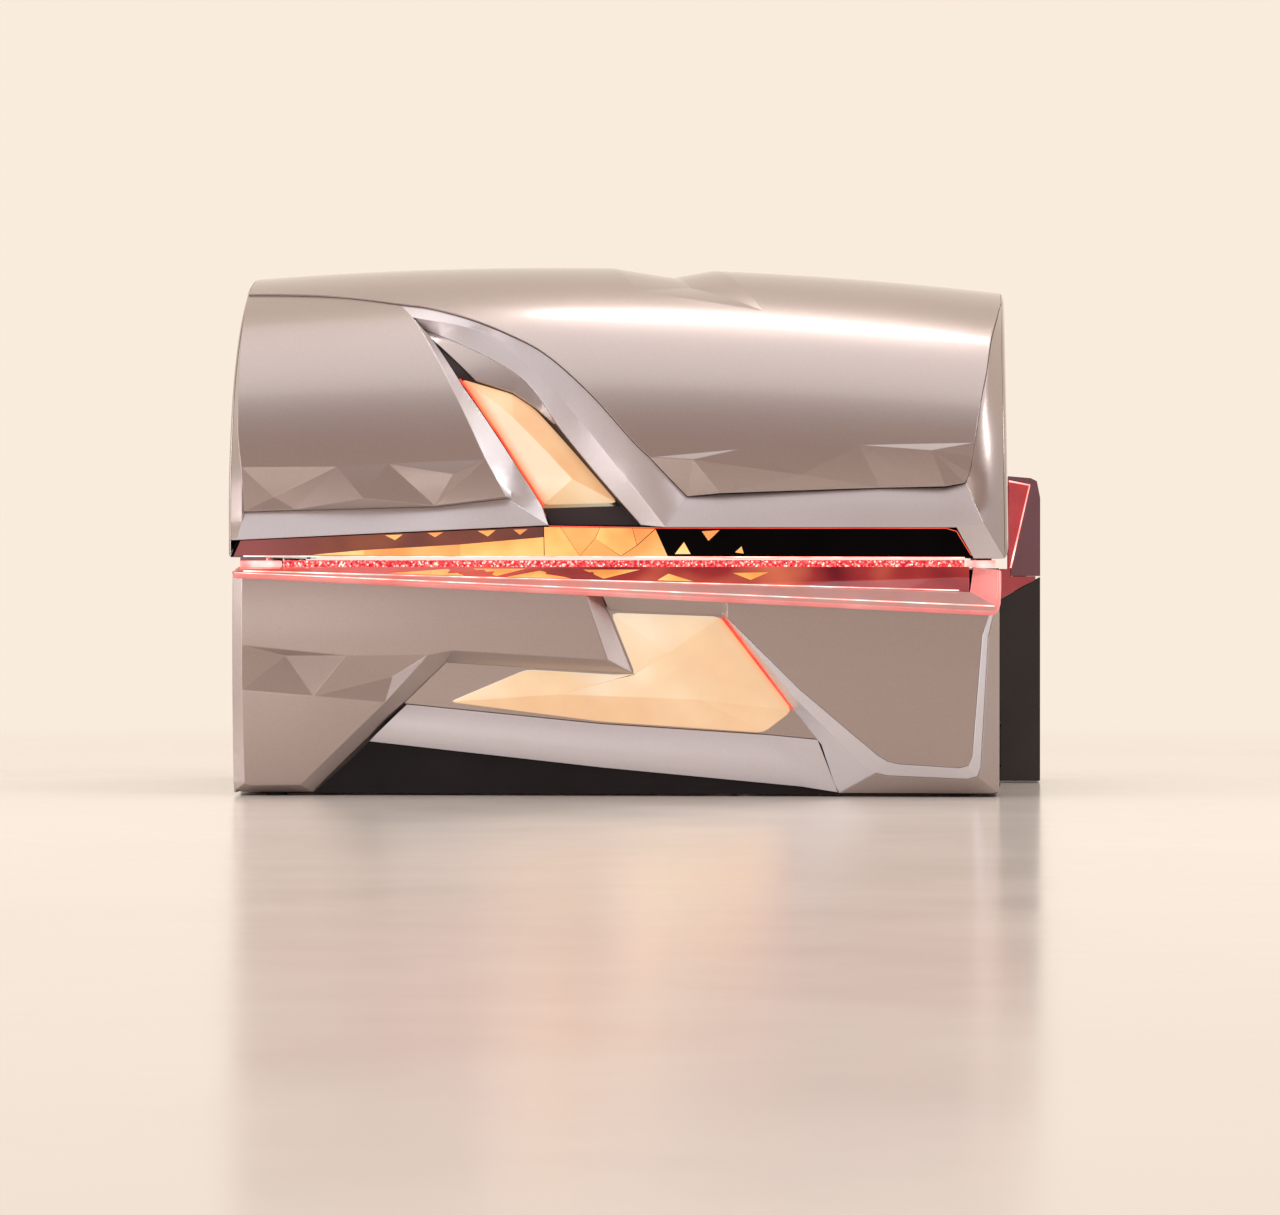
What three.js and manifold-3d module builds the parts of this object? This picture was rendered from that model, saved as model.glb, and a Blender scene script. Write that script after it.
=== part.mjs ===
// Clamshell tanning bed: a floor-standing base and a canopy that swings up on two rear hinge pins.
// Millimetres; +X runs along the bed, +Y to the rear, +Z up; the origin lies under the middle.
import * as THREE from "three";
import { mergeVertices } from "three/addons/utils/BufferGeometryUtils.js";
import Module from "manifold-3d";

const wasm = await Module();
wasm.setup();

// Clearances
const seatGap = 0.4;
const seamGap = 0.7;
const padGap = 0.9;
const pinPlay = 0.6;
const floorGap = 6;

// Length: the rear columns stand outside the base and the canopy
const overallLength = 2400;
const columnWidth = 122;
const endGap = 6;
const columnInnerX = overallLength / 2 - columnWidth;
const baseHalf = columnInnerX - endGap;

// The front drawings were made at this half length and stretch with the base
const drawnHalf = 1072;
const stretch = baseHalf / drawnHalf;

// Canopy arch: half depth, the level where the arch springs, its highest line and how that line falls
const archHalfDepth = 650;
const springZ = 790;
const crestX = -250 * stretch;
const crestZ = 1513;
const crestFall = 4.5e-5;
const archPace = 700;
const rearSkirt = 90;
const skin = 6;
const canopyLeft = -columnInnerX;
const canopyRight = columnInnerX;
const canopyFlare = 0.012;
const canopyFloorZ = 668;
const archSteps = 18;
const archStep = archPace * Math.PI / archSteps;
const lengthStep = 360;

// Base front: most forward line, how far it leans back below and above it
const frontY = -archHalfDepth - 1.48;
const bellyZ = 450;
const leanLow = 30;
const leanHigh = 8;
const baseTopZ = 637;
const frontTopLeftZ = 622;
const frontTopRightZ = 516;
const endPlate = 8;
const panelStep = 110;
const fasciaTopZ = baseTopZ + 4;
const fasciaTopHeight = -72;
const fasciaGlass = 8;

// Rear columns
const rearY = archHalfDepth + 15;
const columnDepth = 250;
const columnFrontY = rearY - columnDepth;
const cowlInnerX = columnInnerX + 26;
const columnWall = 6;
const cowlWall = 8;

// Bed and canopy optics
const opticHalf = baseHalf - 88.5;
const acrylic = 5;
const bedMidY = -90;
const bedHalf = archHalfDepth - 210;
const bedSag = 125;
const bedFlangeFrontY = frontPlane(fasciaTopZ) - fasciaTopHeight + fasciaGlass;
const reflectorDrop = 75;
const reflectorSheet = 3;
const endWall = 8;
const endWallX = opticHalf - 12.5;
const lampRadius = 19;
const lampSides = 10;
const lampDrop = 38;
const lampPairCount = 6;
const lampPairGap = (bedHalf - 14) / lampPairCount;
const domeMidY = -70;
const domeHalf = archHalfDepth - 225;
const domeRise = 395;
const domeFloorZ = 676;
const domeGap = 65;

// Hinge and gas springs
const hingeY = rearY - columnDepth / 2;
const hingeZ = 720;
const pinRadius = 15;
const eyeRadius = 36;
const chordX = canopyRight - 53;
const strutX = chordX - 22;
const domeFlangeRearY = hingeY - 40;
const strutFootZ = 170;
const strutLever = 200;
const strutLeverAngle = -16 * Math.PI / 180;
const strutPin = 6;
const strutBody = 12;
const strutRod = 5;
const strutBodyLength = 350;
const strutRodStart = 200;
const strutEyePlay = 7.5;

// Chassis
const tube = 40;
const railZ = 30;
const railTopZ = 80;
const frontRailY = frontY + 81.88;
const uprightX = columnInnerX + 42;
const footRadius = 30;

// Colours
const champagne = { color: 0xa99c97, metalness: 0.7, roughness: 0.3 };
const silver = { color: 0xb9b1b0, metalness: 0.8, roughness: 0.25 };
const black = { color: 0x121013, metalness: 0.2, roughness: 0.3 };
const mauve = { color: 0x4a3b40, metalness: 0.5, roughness: 0.35 };
const amber = { color: 0xf08a24, emissive: 0xc05a08, roughness: 0.2 };
const redGlow = { color: 0xc8202a, emissive: 0x80101a, roughness: 0.2 };
const clear = { color: 0xe6eef2, roughness: 0.05 };
const steel = { color: 0x8d9196, metalness: 0.9, roughness: 0.4 };
const mirror = { color: 0xd8dadc, metalness: 1, roughness: 0.12 };
const lampWhite = { color: 0xf4f2f6, roughness: 0.35 };
const rubber = { color: 0x1b1b1c, roughness: 0.8 };

// Closed solid of a geometry
function solid(geometry) {
  const plain = geometry.clone();
  plain.deleteAttribute("normal");
  plain.deleteAttribute("uv");
  const welded = mergeVertices(plain, 1e-4);
  return new wasm.Manifold(new wasm.Mesh({
    numProp: 3,
    vertProperties: new Float32Array(welded.attributes.position.array),
    triVerts: new Uint32Array(welded.index.array),
  }));
}

function geometryOf(body) {
  const mesh = body.getMesh();
  const geometry = new THREE.BufferGeometry();
  geometry.setAttribute("position", new THREE.BufferAttribute(new Float32Array(mesh.vertProperties), 3));
  geometry.setIndex(new THREE.BufferAttribute(new Uint32Array(mesh.triVerts), 1));
  return geometry;
}

function join(geometries) {
  return geometryOf(geometries.map(solid).reduce((whole, next) => whole.add(next)));
}

function cut(geometry, tools) {
  return geometryOf(tools.map(solid).reduce((whole, tool) => whole.subtract(tool), solid(geometry)));
}

// Two places on one side of the middle, in rising order
function spread(side, near, far) {
  return [side * near, side * far].sort((a, b) => a - b);
}

// Block between two corners
function block(x0, x1, y0, y1, z0, z1) {
  const geometry = new THREE.BoxGeometry(x1 - x0, y1 - y0, z1 - z0);
  return geometry.translate((x0 + x1) / 2, (y0 + y1) / 2, (z0 + z1) / 2);
}

function extrude(outline, depth) {
  const shape = new THREE.Shape(outline.map(([a, b]) => new THREE.Vector2(a, b)));
  return new THREE.ExtrudeGeometry(shape, { depth, bevelEnabled: false });
}

// Prism along X of an outline in Y and Z
function prismX(outline, x0, x1) {
  const turn = new THREE.Matrix4().set(0, 0, 1, x0, 1, 0, 0, 0, 0, 1, 0, 0, 0, 0, 0, 1);
  return extrude(outline, x1 - x0).applyMatrix4(turn);
}

// Prism along Y of an outline in X and Z
function prismY(outline, y0, y1) {
  const turn = new THREE.Matrix4().set(1, 0, 0, 0, 0, 0, -1, y1, 0, 1, 0, 0, 0, 0, 0, 1);
  return extrude(outline, y1 - y0).applyMatrix4(turn);
}

function rodX(radius, x0, x1, y, z, sides = 24) {
  const geometry = new THREE.CylinderGeometry(radius, radius, x1 - x0, sides);
  return geometry.rotateZ(Math.PI / 2).translate((x0 + x1) / 2, y, z);
}

function rodY(radius, y0, y1, x, z, sides = 24) {
  const geometry = new THREE.CylinderGeometry(radius, radius, y1 - y0, sides);
  return geometry.translate(x, (y0 + y1) / 2, z);
}

function rodZ(radius, z0, z1, x = 0, y = 0, sides = 24) {
  const geometry = new THREE.CylinderGeometry(radius, radius, z1 - z0, sides);
  return geometry.rotateX(Math.PI / 2).translate(x, y, (z0 + z1) / 2);
}

// Ring of sections joined into one body, each end closed by a fan about its middle
function loft(sections) {
  const count = sections[0].length;
  const positions = sections.flat().flat();
  const index = [];
  for (let s = 0; s + 1 < sections.length; s += 1) {
    for (let i = 0; i < count; i += 1) {
      const a = s * count + i;
      const b = s * count + (i + 1) % count;
      index.push(a, b, b + count, a, b + count, a + count);
    }
  }
  for (const [section, first] of [[sections[0], true], [sections[sections.length - 1], false]]) {
    const middle = positions.length / 3;
    const start = first ? 0 : (sections.length - 1) * count;
    positions.push(...[0, 1, 2].map((k) => section.reduce((sum, point) => sum + point[k], 0) / count));
    for (let i = 0; i < count; i += 1) {
      const pair = [start + i, start + (i + 1) % count];
      index.push(middle, ...(first ? pair.reverse() : pair));
    }
  }
  const geometry = new THREE.BufferGeometry();
  geometry.setAttribute("position", new THREE.Float32BufferAttribute(positions, 3));
  geometry.setIndex(index);
  return geometry;
}

// Relief skins: flat drawings of points [across, along, height], wrapped on a curved surface

// Part of a drawn face on one side of a line across or along the drawing
function clip(face, axis, line, side) {
  const snap = 0.05;
  const kept = [];
  const away = (point) => {
    const distance = side * (point[axis] - line);
    return Math.abs(distance) < snap ? 0 : distance;
  };
  face.forEach((from, i) => {
    const to = face[(i + 1) % face.length];
    const a = away(from);
    const b = away(to);
    if (a <= 0) kept.push(from);
    if (a * b < 0) {
      const [low, high] = from[axis] < to[axis] ? [from, to] : [to, from];
      const share = (line - low[axis]) / (high[axis] - low[axis]);
      kept.push(low.map((value, k) => value + share * (high[k] - value)));
    }
  });
  return kept;
}

function slice(faces, axis, lines) {
  let rest = faces;
  const done = [];
  for (const line of lines) {
    done.push(...rest.map((face) => clip(face, axis, line, 1)).filter((face) => face.length > 2));
    rest = rest.map((face) => clip(face, axis, line, -1)).filter((face) => face.length > 2);
  }
  return done.concat(rest);
}

function turnsLeft(a, b, c) {
  return (b[0] - a[0]) * (c[1] - a[1]) - (b[1] - a[1]) * (c[0] - a[0]);
}

// Triangles of a drawn face, counter-clockwise, with holes cut out of it
function triangles(face, holes = []) {
  const flat = (points) => points.map((point) => new THREE.Vector2(point[0], point[1]));
  const points = face.concat(...holes);
  return THREE.ShapeUtils.triangulateShape(flat(face), holes.map(flat)).map(([a, b, c]) => {
    const corners = [points[a], points[b], points[c]];
    return turnsLeft(...corners) > 0 ? corners : corners.reverse();
  });
}

// Fan of a convex face from the corner that leaves no flat triangle
function fan(face) {
  const count = face.length;
  const from = (start) => {
    const found = [];
    for (let i = 1; i + 1 < count; i += 1) {
      found.push([start, (start + i) % count, (start + i + 1) % count].map((k) => face[k]));
    }
    return found;
  };
  const least = (found) => Math.min(...found.map((corners) => turnsLeft(...corners)));
  const better = (best, next) => (least(next) > least(best) ? next : best);
  return face.map((_, start) => from(start)).reduce(better);
}

function linesBetween(low, high, step) {
  const lines = [];
  for (let line = Math.ceil(low / step) * step; line < high; line += step) lines.push(line);
  return lines;
}

// Skin of even thickness: the drawn faces outside, the same faces sunk by the wall inside, rims between
function skinOf(drawing, surface, wall, acrossStep, alongStep) {
  const corners = drawing.flatMap((face) => face.outline || face);
  const span = (axis) => {
    const values = corners.map((point) => point[axis]);
    return [Math.min(...values), Math.max(...values)];
  };
  const flat = drawing.flatMap((face) => triangles(face.outline || face, face.holes));
  const strips = slice(flat, 0, linesBetween(...span(0), acrossStep));
  const cells = slice(strips, 1, linesBetween(...span(1), alongStep));
  const places = new Map();
  const positions = [];
  const index = [];
  const edges = new Map();
  const place = ([across, along, height]) => {
    const key = `${across.toFixed(3)} ${along.toFixed(3)}`;
    if (!places.has(key)) {
      places.set(key, places.size);
      positions.push(...surface(across, along, height), ...surface(across, along, height - wall));
    }
    return places.get(key);
  };
  for (const triangle of cells.flatMap(fan)) {
    const [a, b, c] = triangle.map(place);
    index.push(2 * a, 2 * b, 2 * c, 2 * c + 1, 2 * b + 1, 2 * a + 1);
    for (const [from, to] of [[a, b], [b, c], [c, a]]) edges.set(`${from} ${to}`, [from, to]);
  }
  for (const [from, to] of edges.values()) {
    if (!edges.has(`${to} ${from}`)) {
      index.push(2 * to, 2 * from, 2 * from + 1, 2 * to, 2 * from + 1, 2 * to + 1);
    }
  }
  const geometry = new THREE.BufferGeometry();
  geometry.setAttribute("position", new THREE.Float32BufferAttribute(positions, 3));
  geometry.setIndex(index);
  return geometry;
}

// Same line moved to its right-hand side, for the skin on the far side of a seam
function beside(line, gap) {
  return line.map((point, i) => {
    const before = line[Math.max(i - 1, 0)];
    const after = line[Math.min(i + 1, line.length - 1)];
    const run = [after[0] - before[0], after[1] - before[1]];
    const share = gap / Math.hypot(...run);
    return [point[0] + share * run[1], point[1] - share * run[0]];
  });
}

function smooth(points, perSpan = 2) {
  const curve = new THREE.SplineCurve(points.map(([a, b]) => new THREE.Vector2(a, b)));
  return curve.getPoints(perSpan * (points.length - 1)).map((point) => [point.x, point.y]);
}

function raised(line, height) {
  return line.map(([across, along]) => [across, along, height]);
}

function reversed(points) {
  return points.slice().reverse();
}

// Canopy surface: the arch unrolled from its front foot over the crest to its rear foot
function archRise(x) {
  return crestZ - crestFall * (x - crestX) ** 2 - springZ;
}

function onArch(x, along, height) {
  const rearFoot = Math.PI * archPace;
  if (along < 0) return [x, -archHalfDepth - height, springZ + along];
  if (along > rearFoot) return [x, archHalfDepth + height, springZ - (along - rearFoot)];
  const angle = along / archPace;
  const rise = archRise(x);
  const normal = new THREE.Vector2(-Math.cos(angle) / archHalfDepth, Math.sin(angle) / rise);
  normal.normalize();
  return [
    x,
    -archHalfDepth * Math.cos(angle) + height * normal.x,
    springZ + rise * Math.sin(angle) + height * normal.y,
  ];
}

function alongAt(x, z) {
  return z < springZ ? z - springZ : archPace * Math.asin(Math.min(1, (z - springZ) / archRise(x)));
}

// Point on the canopy from its place in the front view, and the same for a point of the drawing
function placed(x, z, height = 0) {
  return [x, alongAt(x, z), height];
}

function seen(x, z, height = 0) {
  return placed(x * stretch, z, height);
}

function canopySkin(drawing, wall = skin) {
  return skinOf(drawing, onArch, wall, lengthStep, archStep);
}

// Base surface: a front that leans back above and below its belly
function frontPlane(z) {
  const low = ((z - bellyZ) / bellyZ) ** 2;
  const high = ((z - bellyZ) / (baseTopZ - bellyZ)) ** 2;
  return frontY + (z < bellyZ ? leanLow * low : leanHigh * high);
}

function onFront(x, z, height) {
  return [x, frontPlane(z) - height, z];
}

// Point of a drawing, stretched along the bed
function drawn(x, along, height = 0) {
  return [x * stretch, along, height];
}

// Point of the base drawing on the top edge of the front panels
function drawnTop(x, height = 0) {
  return [x * stretch, frontTop(x * stretch), height];
}

function frontTop(x) {
  return frontTopLeftZ + (frontTopRightZ - frontTopLeftZ) * (x + baseHalf) / (2 * baseHalf);
}

function frontSkin(drawing, wall = skin) {
  return skinOf(drawing, onFront, wall, 2 * lengthStep, panelStep);
}

const nodes = { base: new THREE.Group(), canopy: new THREE.Group(), struts: new THREE.Group() };

function add(group, name, geometry, finish) {
  const mesh = new THREE.Mesh(geometry, new THREE.MeshStandardMaterial(finish));
  mesh.name = name;
  nodes[group].add(mesh);
  return mesh;
}

// Canopy barrel: top, rear and the right panel, with a faceted belt and a dart at the crest
const crest = Math.PI / 2 * archPace;
const rearEdge = Math.PI * archPace + rearSkirt;
const swoosh = smooth([
  placed(canopyLeft, 1427), seen(-834, 1419), seen(-629, 1393), seen(-541, 1380), seen(-423, 1346),
  seen(-305, 1298), seen(-202, 1242), seen(-70, 1127), seen(45, 1000), seen(100, 946),
]);
const beltTop = [seen(100, 946), seen(350, 968), seen(682, 979), seen(1003, 985)];
const beltFoot = [
  seen(205, 838, -10), seen(298, 846, 8), seen(741, 862, -2), seen(922, 865, 4), seen(976, 876, -8),
];
const beltEnd = [seen(990, 903, -8), seen(998, 950, -4)];
const bevelInner = [
  seen(1009, 1025), seen(1021, 1109), seen(1036, 1185), seen(1050, 1286), seen(1066, 1350),
];
const bevelTopZ = 1398;
const bevelTop = placed(canopyRight, bevelTopZ);
const dartRim = [
  drawn(-60, crest), drawn(40, 760), drawn(404, 672), drawn(329, 850), drawn(238, crest), drawn(150, 1420),
];
const dartPit = drawn(121, crest, -26);
const dartValley = drawn(192, 847, -20);

function canopyBarrel() {
  const [beltA, beltB, beltC, beltE] = beltTop;
  const [footL, footG, footI, footJ, footK] = beltFoot;
  const [endLow, endHigh] = beltEnd;
  const beltF = seen(222, 938, 6);
  const beltH = seen(523, 897, -2);
  const beltD = seen(885, 962, 6);
  const rear = [
    [canopyRight, crest], [canopyRight, rearEdge], [canopyLeft, rearEdge], [canopyLeft, crest],
  ];
  const panel = {
    outline: [...raised(swoosh, 0), beltB, beltC, beltE, ...bevelInner, bevelTop, ...raised(rear, 0)],
    holes: [dartRim],
  };
  const belt = [
    [beltA, beltF, beltB], [beltA, footL, beltF], [beltF, footL, footG], [beltF, footG, beltH],
    [beltF, beltH, beltB], [beltB, beltH, beltC], [footG, footI, beltH], [beltH, footI, beltC],
    [beltC, footI, footJ], [beltC, footJ, beltD], [beltC, beltD, beltE], [beltD, footJ, footK],
    [beltD, footK, endLow], [beltD, endLow, endHigh], [beltD, endHigh, beltE],
  ];
  const [leftRim, lowLeft, tip, lowRight, rightRim, rearRim] = dartRim;
  const dart = [
    [leftRim, lowLeft, dartValley, dartPit], [lowLeft, tip, dartValley], [dartValley, tip, lowRight],
    [dartValley, lowRight, rightRim, dartPit], [dartPit, rightRim, rearRim],
    [dartPit, rearRim, leftRim],
  ];
  return canopySkin([panel, ...belt, ...dart]);
}

// Canopy front frame: left wing with its faceted belt, slash rims, both rails and the right end bevel
const seamHeight = -6.5;
const slashRimHeight = -36;
const slashTip = seen(-589, 1356, seamHeight);
const slashRight = smooth([
  slashTip, seen(-460, 1304), seen(-269, 1193), seen(-151, 1036), seen(-37, 890), seen(75, 757),
]).map(([x, along], i) => [x, along, i === 0 ? seamHeight : slashRimHeight]);
const slashLeft = [
  seen(-533, 1311, -30), seen(-431, 1165, -42), seen(-204, 813, -42), seen(-181, 757, 6),
];
const railStart = seen(-1056, 716, 6);
const railMitre = seen(145, 751, 8);
const railEnd = seen(953, 750, 8);
const cornerTop = seen(1027, 765, -6);
const cornerFoot = seen(1001, 664, -10);

function rightEdge(z) {
  return canopyRight + canopyFlare * Math.max(0, bevelTopZ - z);
}

const bevelOuter = [[664, -60], [770, -62], [881, -62], [1276, -40]].map(
  ([z, height]) => placed(rightEdge(z), z, height),
);
const chamferOuter = [[716, -40], [1000, -36], [1200, -24], [1424, -8]].map(
  ([z, height]) => placed(canopyLeft, z, height),
);

function canopyFrontFrame() {
  const seam = beside([...swoosh, ...beltFoot, ...beltEnd, beltTop[3], ...bevelInner, bevelTop], seamGap);
  const swooshEnd = swoosh.length;
  const footEnd = swooshEnd + beltFoot.length;
  const tipSpan = 5;
  const swooshSeam = raised(seam.slice(0, swooshEnd), seamHeight);
  const footSeam = raised(seam.slice(swooshEnd, footEnd), -14);
  const bevelSeam = raised(seam.slice(footEnd), -7);
  const [footStart, footLast] = [footSeam[0], footSeam[footSeam.length - 1]];
  const wingHeight = -6;
  const edge = raised([seen(-1046, 921), seen(-1059, 1019), seen(-1067, 1176), seen(-1075, 1337)], wingHeight);
  const beltA = edge[0];
  const beltB = seen(-776, 922, wingHeight);
  const beltC = seen(-633, 931, wingHeight);
  const beltD = seen(-359, 942, wingHeight);
  const beltE = seen(-955, 838, -24);
  const beltH = seen(-699, 832, 10);
  const beltJ = seen(-448, 900, 2);
  const foot = [seen(-1038, 797, -14), seen(-893, 802, -6), seen(-500, 812, -2), seen(-300, 837, -4)];
  const ledge = raised([seen(-1037, 794), seen(-893, 799), seen(-500, 809), seen(-298, 833)], -18);
  const slashFoot = slashLeft[3];
  const wing = [...swooshSeam.slice(0, tipSpan), slashTip, beltD, beltC, beltB, ...edge];
  const chamfer = [swooshSeam[0], ...reversed(edge), foot[0], ledge[0], railStart, ...chamferOuter];
  const belt = [
    [beltA, beltE, beltB], [beltA, foot[0], beltE], [foot[0], foot[1], beltE], [beltE, foot[1], beltB],
    [beltB, foot[1], beltH], [beltB, beltH, beltC], [beltC, beltH, foot[2]], [foot[1], foot[2], beltH],
    [beltC, beltJ, beltD], [beltC, foot[2], beltJ], [beltD, beltJ, foot[2]], [beltD, foot[2], foot[3]],
  ];
  const steps = [0, 1, 2].map((i) => [foot[i], foot[i + 1], ledge[i + 1], ledge[i]]);
  const leftRail = [railStart, slashFoot, ...reversed(ledge)];
  const leftRim = [slashTip, ...slashLeft, ledge[3], foot[3], beltD];
  const rightRim = [...swooshSeam.slice(tipSpan - 1), footStart, railMitre, ...reversed(slashRight)];
  const rightRail = [railMitre, railEnd, cornerTop, ...reversed(footSeam)];
  const bevel = [footLast, cornerTop, ...bevelOuter, ...reversed(bevelSeam)];
  const corner = [railEnd, cornerFoot, bevelOuter[0], cornerTop];
  return canopySkin([
    wing, chamfer, ...belt, ...steps, leftRail, leftRim, rightRim, rightRail, bevel, corner,
  ]);
}

// Slash recess and its amber panel
const slashPanel = [seen(-443, 1204), seen(-294, 1156), seen(-228, 1108), seen(8, 822)];
const slashPanelHeight = -60;
const slashRidgeHeight = -44;
const slashPanelFoot = seen(-199, 816, slashPanelHeight);

function slashBezel() {
  const wall = raised(beside(slashRight, seamGap).slice(1), slashRimHeight - 1);
  const rim = beside(slashLeft, -seamGap);
  const heights = [-44, -60, -62, -50];
  const [rimTop, rimMid, rimLow, rimFoot] = rim.map(([x, along], i) => [x, along, heights[i]]);
  const panel = raised(beside(slashPanel, -seamGap), slashPanelHeight - 4);
  const turn = 4;
  const tip = seen(-572, 1338, -26);
  const corner = [panel[0][0] - 3, panel[0][1] + 2, panel[0][2]];
  const upper = [tip, ...wall.slice(0, turn), panel[1], corner, rimMid, rimTop];
  const sillEnd = seen(14, 813, -62);
  const side = [...wall.slice(turn - 1), sillEnd, panel[3], panel[2], panel[1]];
  const sill = [seen(-202, 806, rimLow[2]), rimFoot, wall[wall.length - 1], sillEnd];
  const channel = [corner, seen(-202, 814, slashPanelHeight - 4), rimLow, rimMid];
  return canopySkin([upper, side, sill, channel]);
}

function slashLightPanel() {
  const [start, top, bend, end] = raised(slashPanel, slashPanelHeight);
  const ridgeTop = seen(-288, 1076, slashRidgeHeight);
  const ridgeLow = seen(-118, 892, slashRidgeHeight);
  return canopySkin([
    [start, slashPanelFoot, ridgeLow, ridgeTop], [start, ridgeTop, top], [top, ridgeTop, bend],
    [bend, ridgeTop, ridgeLow, end], [end, ridgeLow, slashPanelFoot],
  ], 8);
}

// Black glass strip under the canopy rails
const fasciaFootHeight = -25;

function canopyFascia() {
  const top = [seen(-1055.3, 715), seen(-181, 755.8), seen(145, 749.8), seen(952, 748.8)];
  const foot = [seen(999.8, 664.5), placed(canopyLeft + 1, 670)];
  return canopySkin([[...raised(top, -6), ...raised(foot, fasciaFootHeight)]], fasciaGlass);
}

// Domed end caps with an inner floor shelf that closes the end of the canopy
const capHeel = 20;
const shelfFrontY = 70 - archHalfDepth;
const strutWell = { x: chordX + 37, frontY: hingeY - 235, rearY: hingeY - 148, floorZ: baseTopZ - 37 };

function endOutline(x, heightAt, inset) {
  const points = [];
  const rearFoot = Math.PI * archPace;
  const levels = [canopyFloorZ - springZ + inset, -60];
  for (let along = 0; along < rearFoot + 1; along += archStep) levels.push(along);
  levels.push(rearEdge - inset);
  for (const along of levels) points.push(onArch(x(along), along, heightAt(along) - inset));
  points.push([x(0), hingeY + capHeel - inset, canopyFloorZ + inset]);
  return points;
}

function heightTable(rows) {
  return (along) => {
    const next = rows.findIndex(([level]) => level >= along);
    if (next === 0) return rows[0][1];
    if (next < 0) return -1;
    const [low, from] = rows[next - 1];
    const [high, to] = rows[next];
    return from + (to - from) * (along - low) / (high - low);
  };
}

function canopyEnd(side) {
  const dome = [[0, 0], [4, 3], [8, 14], [10, 40]];
  const rows = (side < 0 ? chamferOuter : bevelOuter).map(([, along, height]) => [along, height - 1]);
  rows.push(side < 0 ? [alongAt(canopyLeft, 1440), -1] : [bevelTop[1], -9], [bevelTop[1] + 40, -1]);
  rows.sort((a, b) => a[0] - b[0]);
  const height = heightTable(rows);
  const zAt = (along) => onArch(canopyRight, along, 0)[2];
  const shell = (along) => (side < 0 ? canopyLeft : rightEdge(zAt(along)));
  const sections = dome.map(([out, inset]) => {
    const place = (along) => shell(along) + side * (seamGap + out);
    return endOutline(place, height, inset);
  });
  const cap = loft(side > 0 ? sections.map(reversed) : sections);
  const capX = Math.abs(shell(canopyFloorZ - springZ)) + seamGap + 2;
  const shelfSpan = spread(side, opticHalf + seatGap, capX);
  const shelf = block(...shelfSpan, shelfFrontY, hingeY - 10, canopyFloorZ, canopyFloorZ + acrylic);
  const { frontY: wellFront, rearY: wellRear, floorZ: wellFloor } = strutWell;
  const well = block(...spread(side, 0, strutWell.x), wellFront, wellRear, wellFloor, springZ);
  const pinHole = rodX(pinRadius + 4, -overallLength / 2, overallLength / 2, hingeY, hingeZ);
  return cut(join([cap, cut(shelf, [well])]), [pinHole]);
}

// Nested half ellipses of the canopy optics
function domeLine(grow, from, to, count = 20) {
  const points = [];
  for (let i = 0; i <= count; i += 1) {
    const angle = from + (to - from) * i / count;
    points.push([
      domeMidY - (domeHalf + grow) * Math.cos(angle),
      domeFloorZ + (domeRise + grow) * Math.sin(angle),
    ]);
  }
  return points;
}

const fasciaBackY = -archHalfDepth - fasciaFootHeight + fasciaGlass - 1.4;

function canopyAcrylic() {
  const top = domeFloorZ + acrylic;
  const lift = Math.asin(acrylic / (domeRise + acrylic));
  return prismX([
    [fasciaBackY + seatGap, domeFloorZ], ...domeLine(0, 0, Math.PI),
    [domeFlangeRearY, domeFloorZ], [domeFlangeRearY, top],
    ...domeLine(acrylic, Math.PI - lift, lift), [fasciaBackY + seatGap, top],
  ], -opticHalf, opticHalf);
}

const reflectorFoot = Math.asin((acrylic + 1) / (domeRise + domeGap));

function upperReflector() {
  const outer = domeLine(domeGap + reflectorSheet, reflectorFoot, Math.PI - reflectorFoot);
  const inner = domeLine(domeGap, Math.PI - reflectorFoot, reflectorFoot);
  const wallInner = domeLine(acrylic + 1, Math.PI - 2 * reflectorFoot, 2 * reflectorFoot);
  const sheet = prismX([...outer, ...inner], -endWallX, endWallX);
  const wall = [...outer, ...wallInner];
  return join([
    sheet, prismX(wall, -endWallX, endWall - endWallX), prismX(wall, endWallX - endWall, endWallX),
  ]);
}

// Two tubes held by a twin socket at each end
function lampPair([firstY, firstZ], [nextY, nextZ]) {
  const half = endWallX - endWall - seatGap;
  const socket = 18;
  const grip = lampRadius - 5;
  const holder = [
    [firstY, firstZ - grip], [nextY, nextZ - grip], [nextY, nextZ + grip], [firstY, firstZ + grip],
  ];
  return join([
    rodX(lampRadius, -half, half, firstY, firstZ, lampSides),
    rodX(lampRadius, -half, half, nextY, nextZ, lampSides),
    prismX(holder, -half, socket - half), prismX(holder, half - socket, half),
  ]);
}

function domeLamp(share) {
  const edge = 12 * Math.PI / 180;
  return domeLine((domeGap + acrylic) / 2 - 1, edge + (Math.PI - 2 * edge) * share, Math.PI, 1)[0];
}

// Steel canopy frame: four ribs, long rails, end chords with hinge eyes and gas spring studs
const strutTop = [
  hingeY - strutLever * Math.cos(strutLeverAngle), hingeZ + strutLever * Math.sin(strutLeverAngle),
];
const chordWidth = 30;
const ribDepth = 40;
const ribSink = 20;
const ribFrontSink = 66;
const ribFrontSteps = 5;
const frontRail = 18;
const chordTail = 35;
const canopyRail = 30;
const canopyRailRise = 100;
const ribX = 720;
const reflectorTopZ = domeFloorZ + domeRise + domeGap + reflectorSheet;

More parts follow.
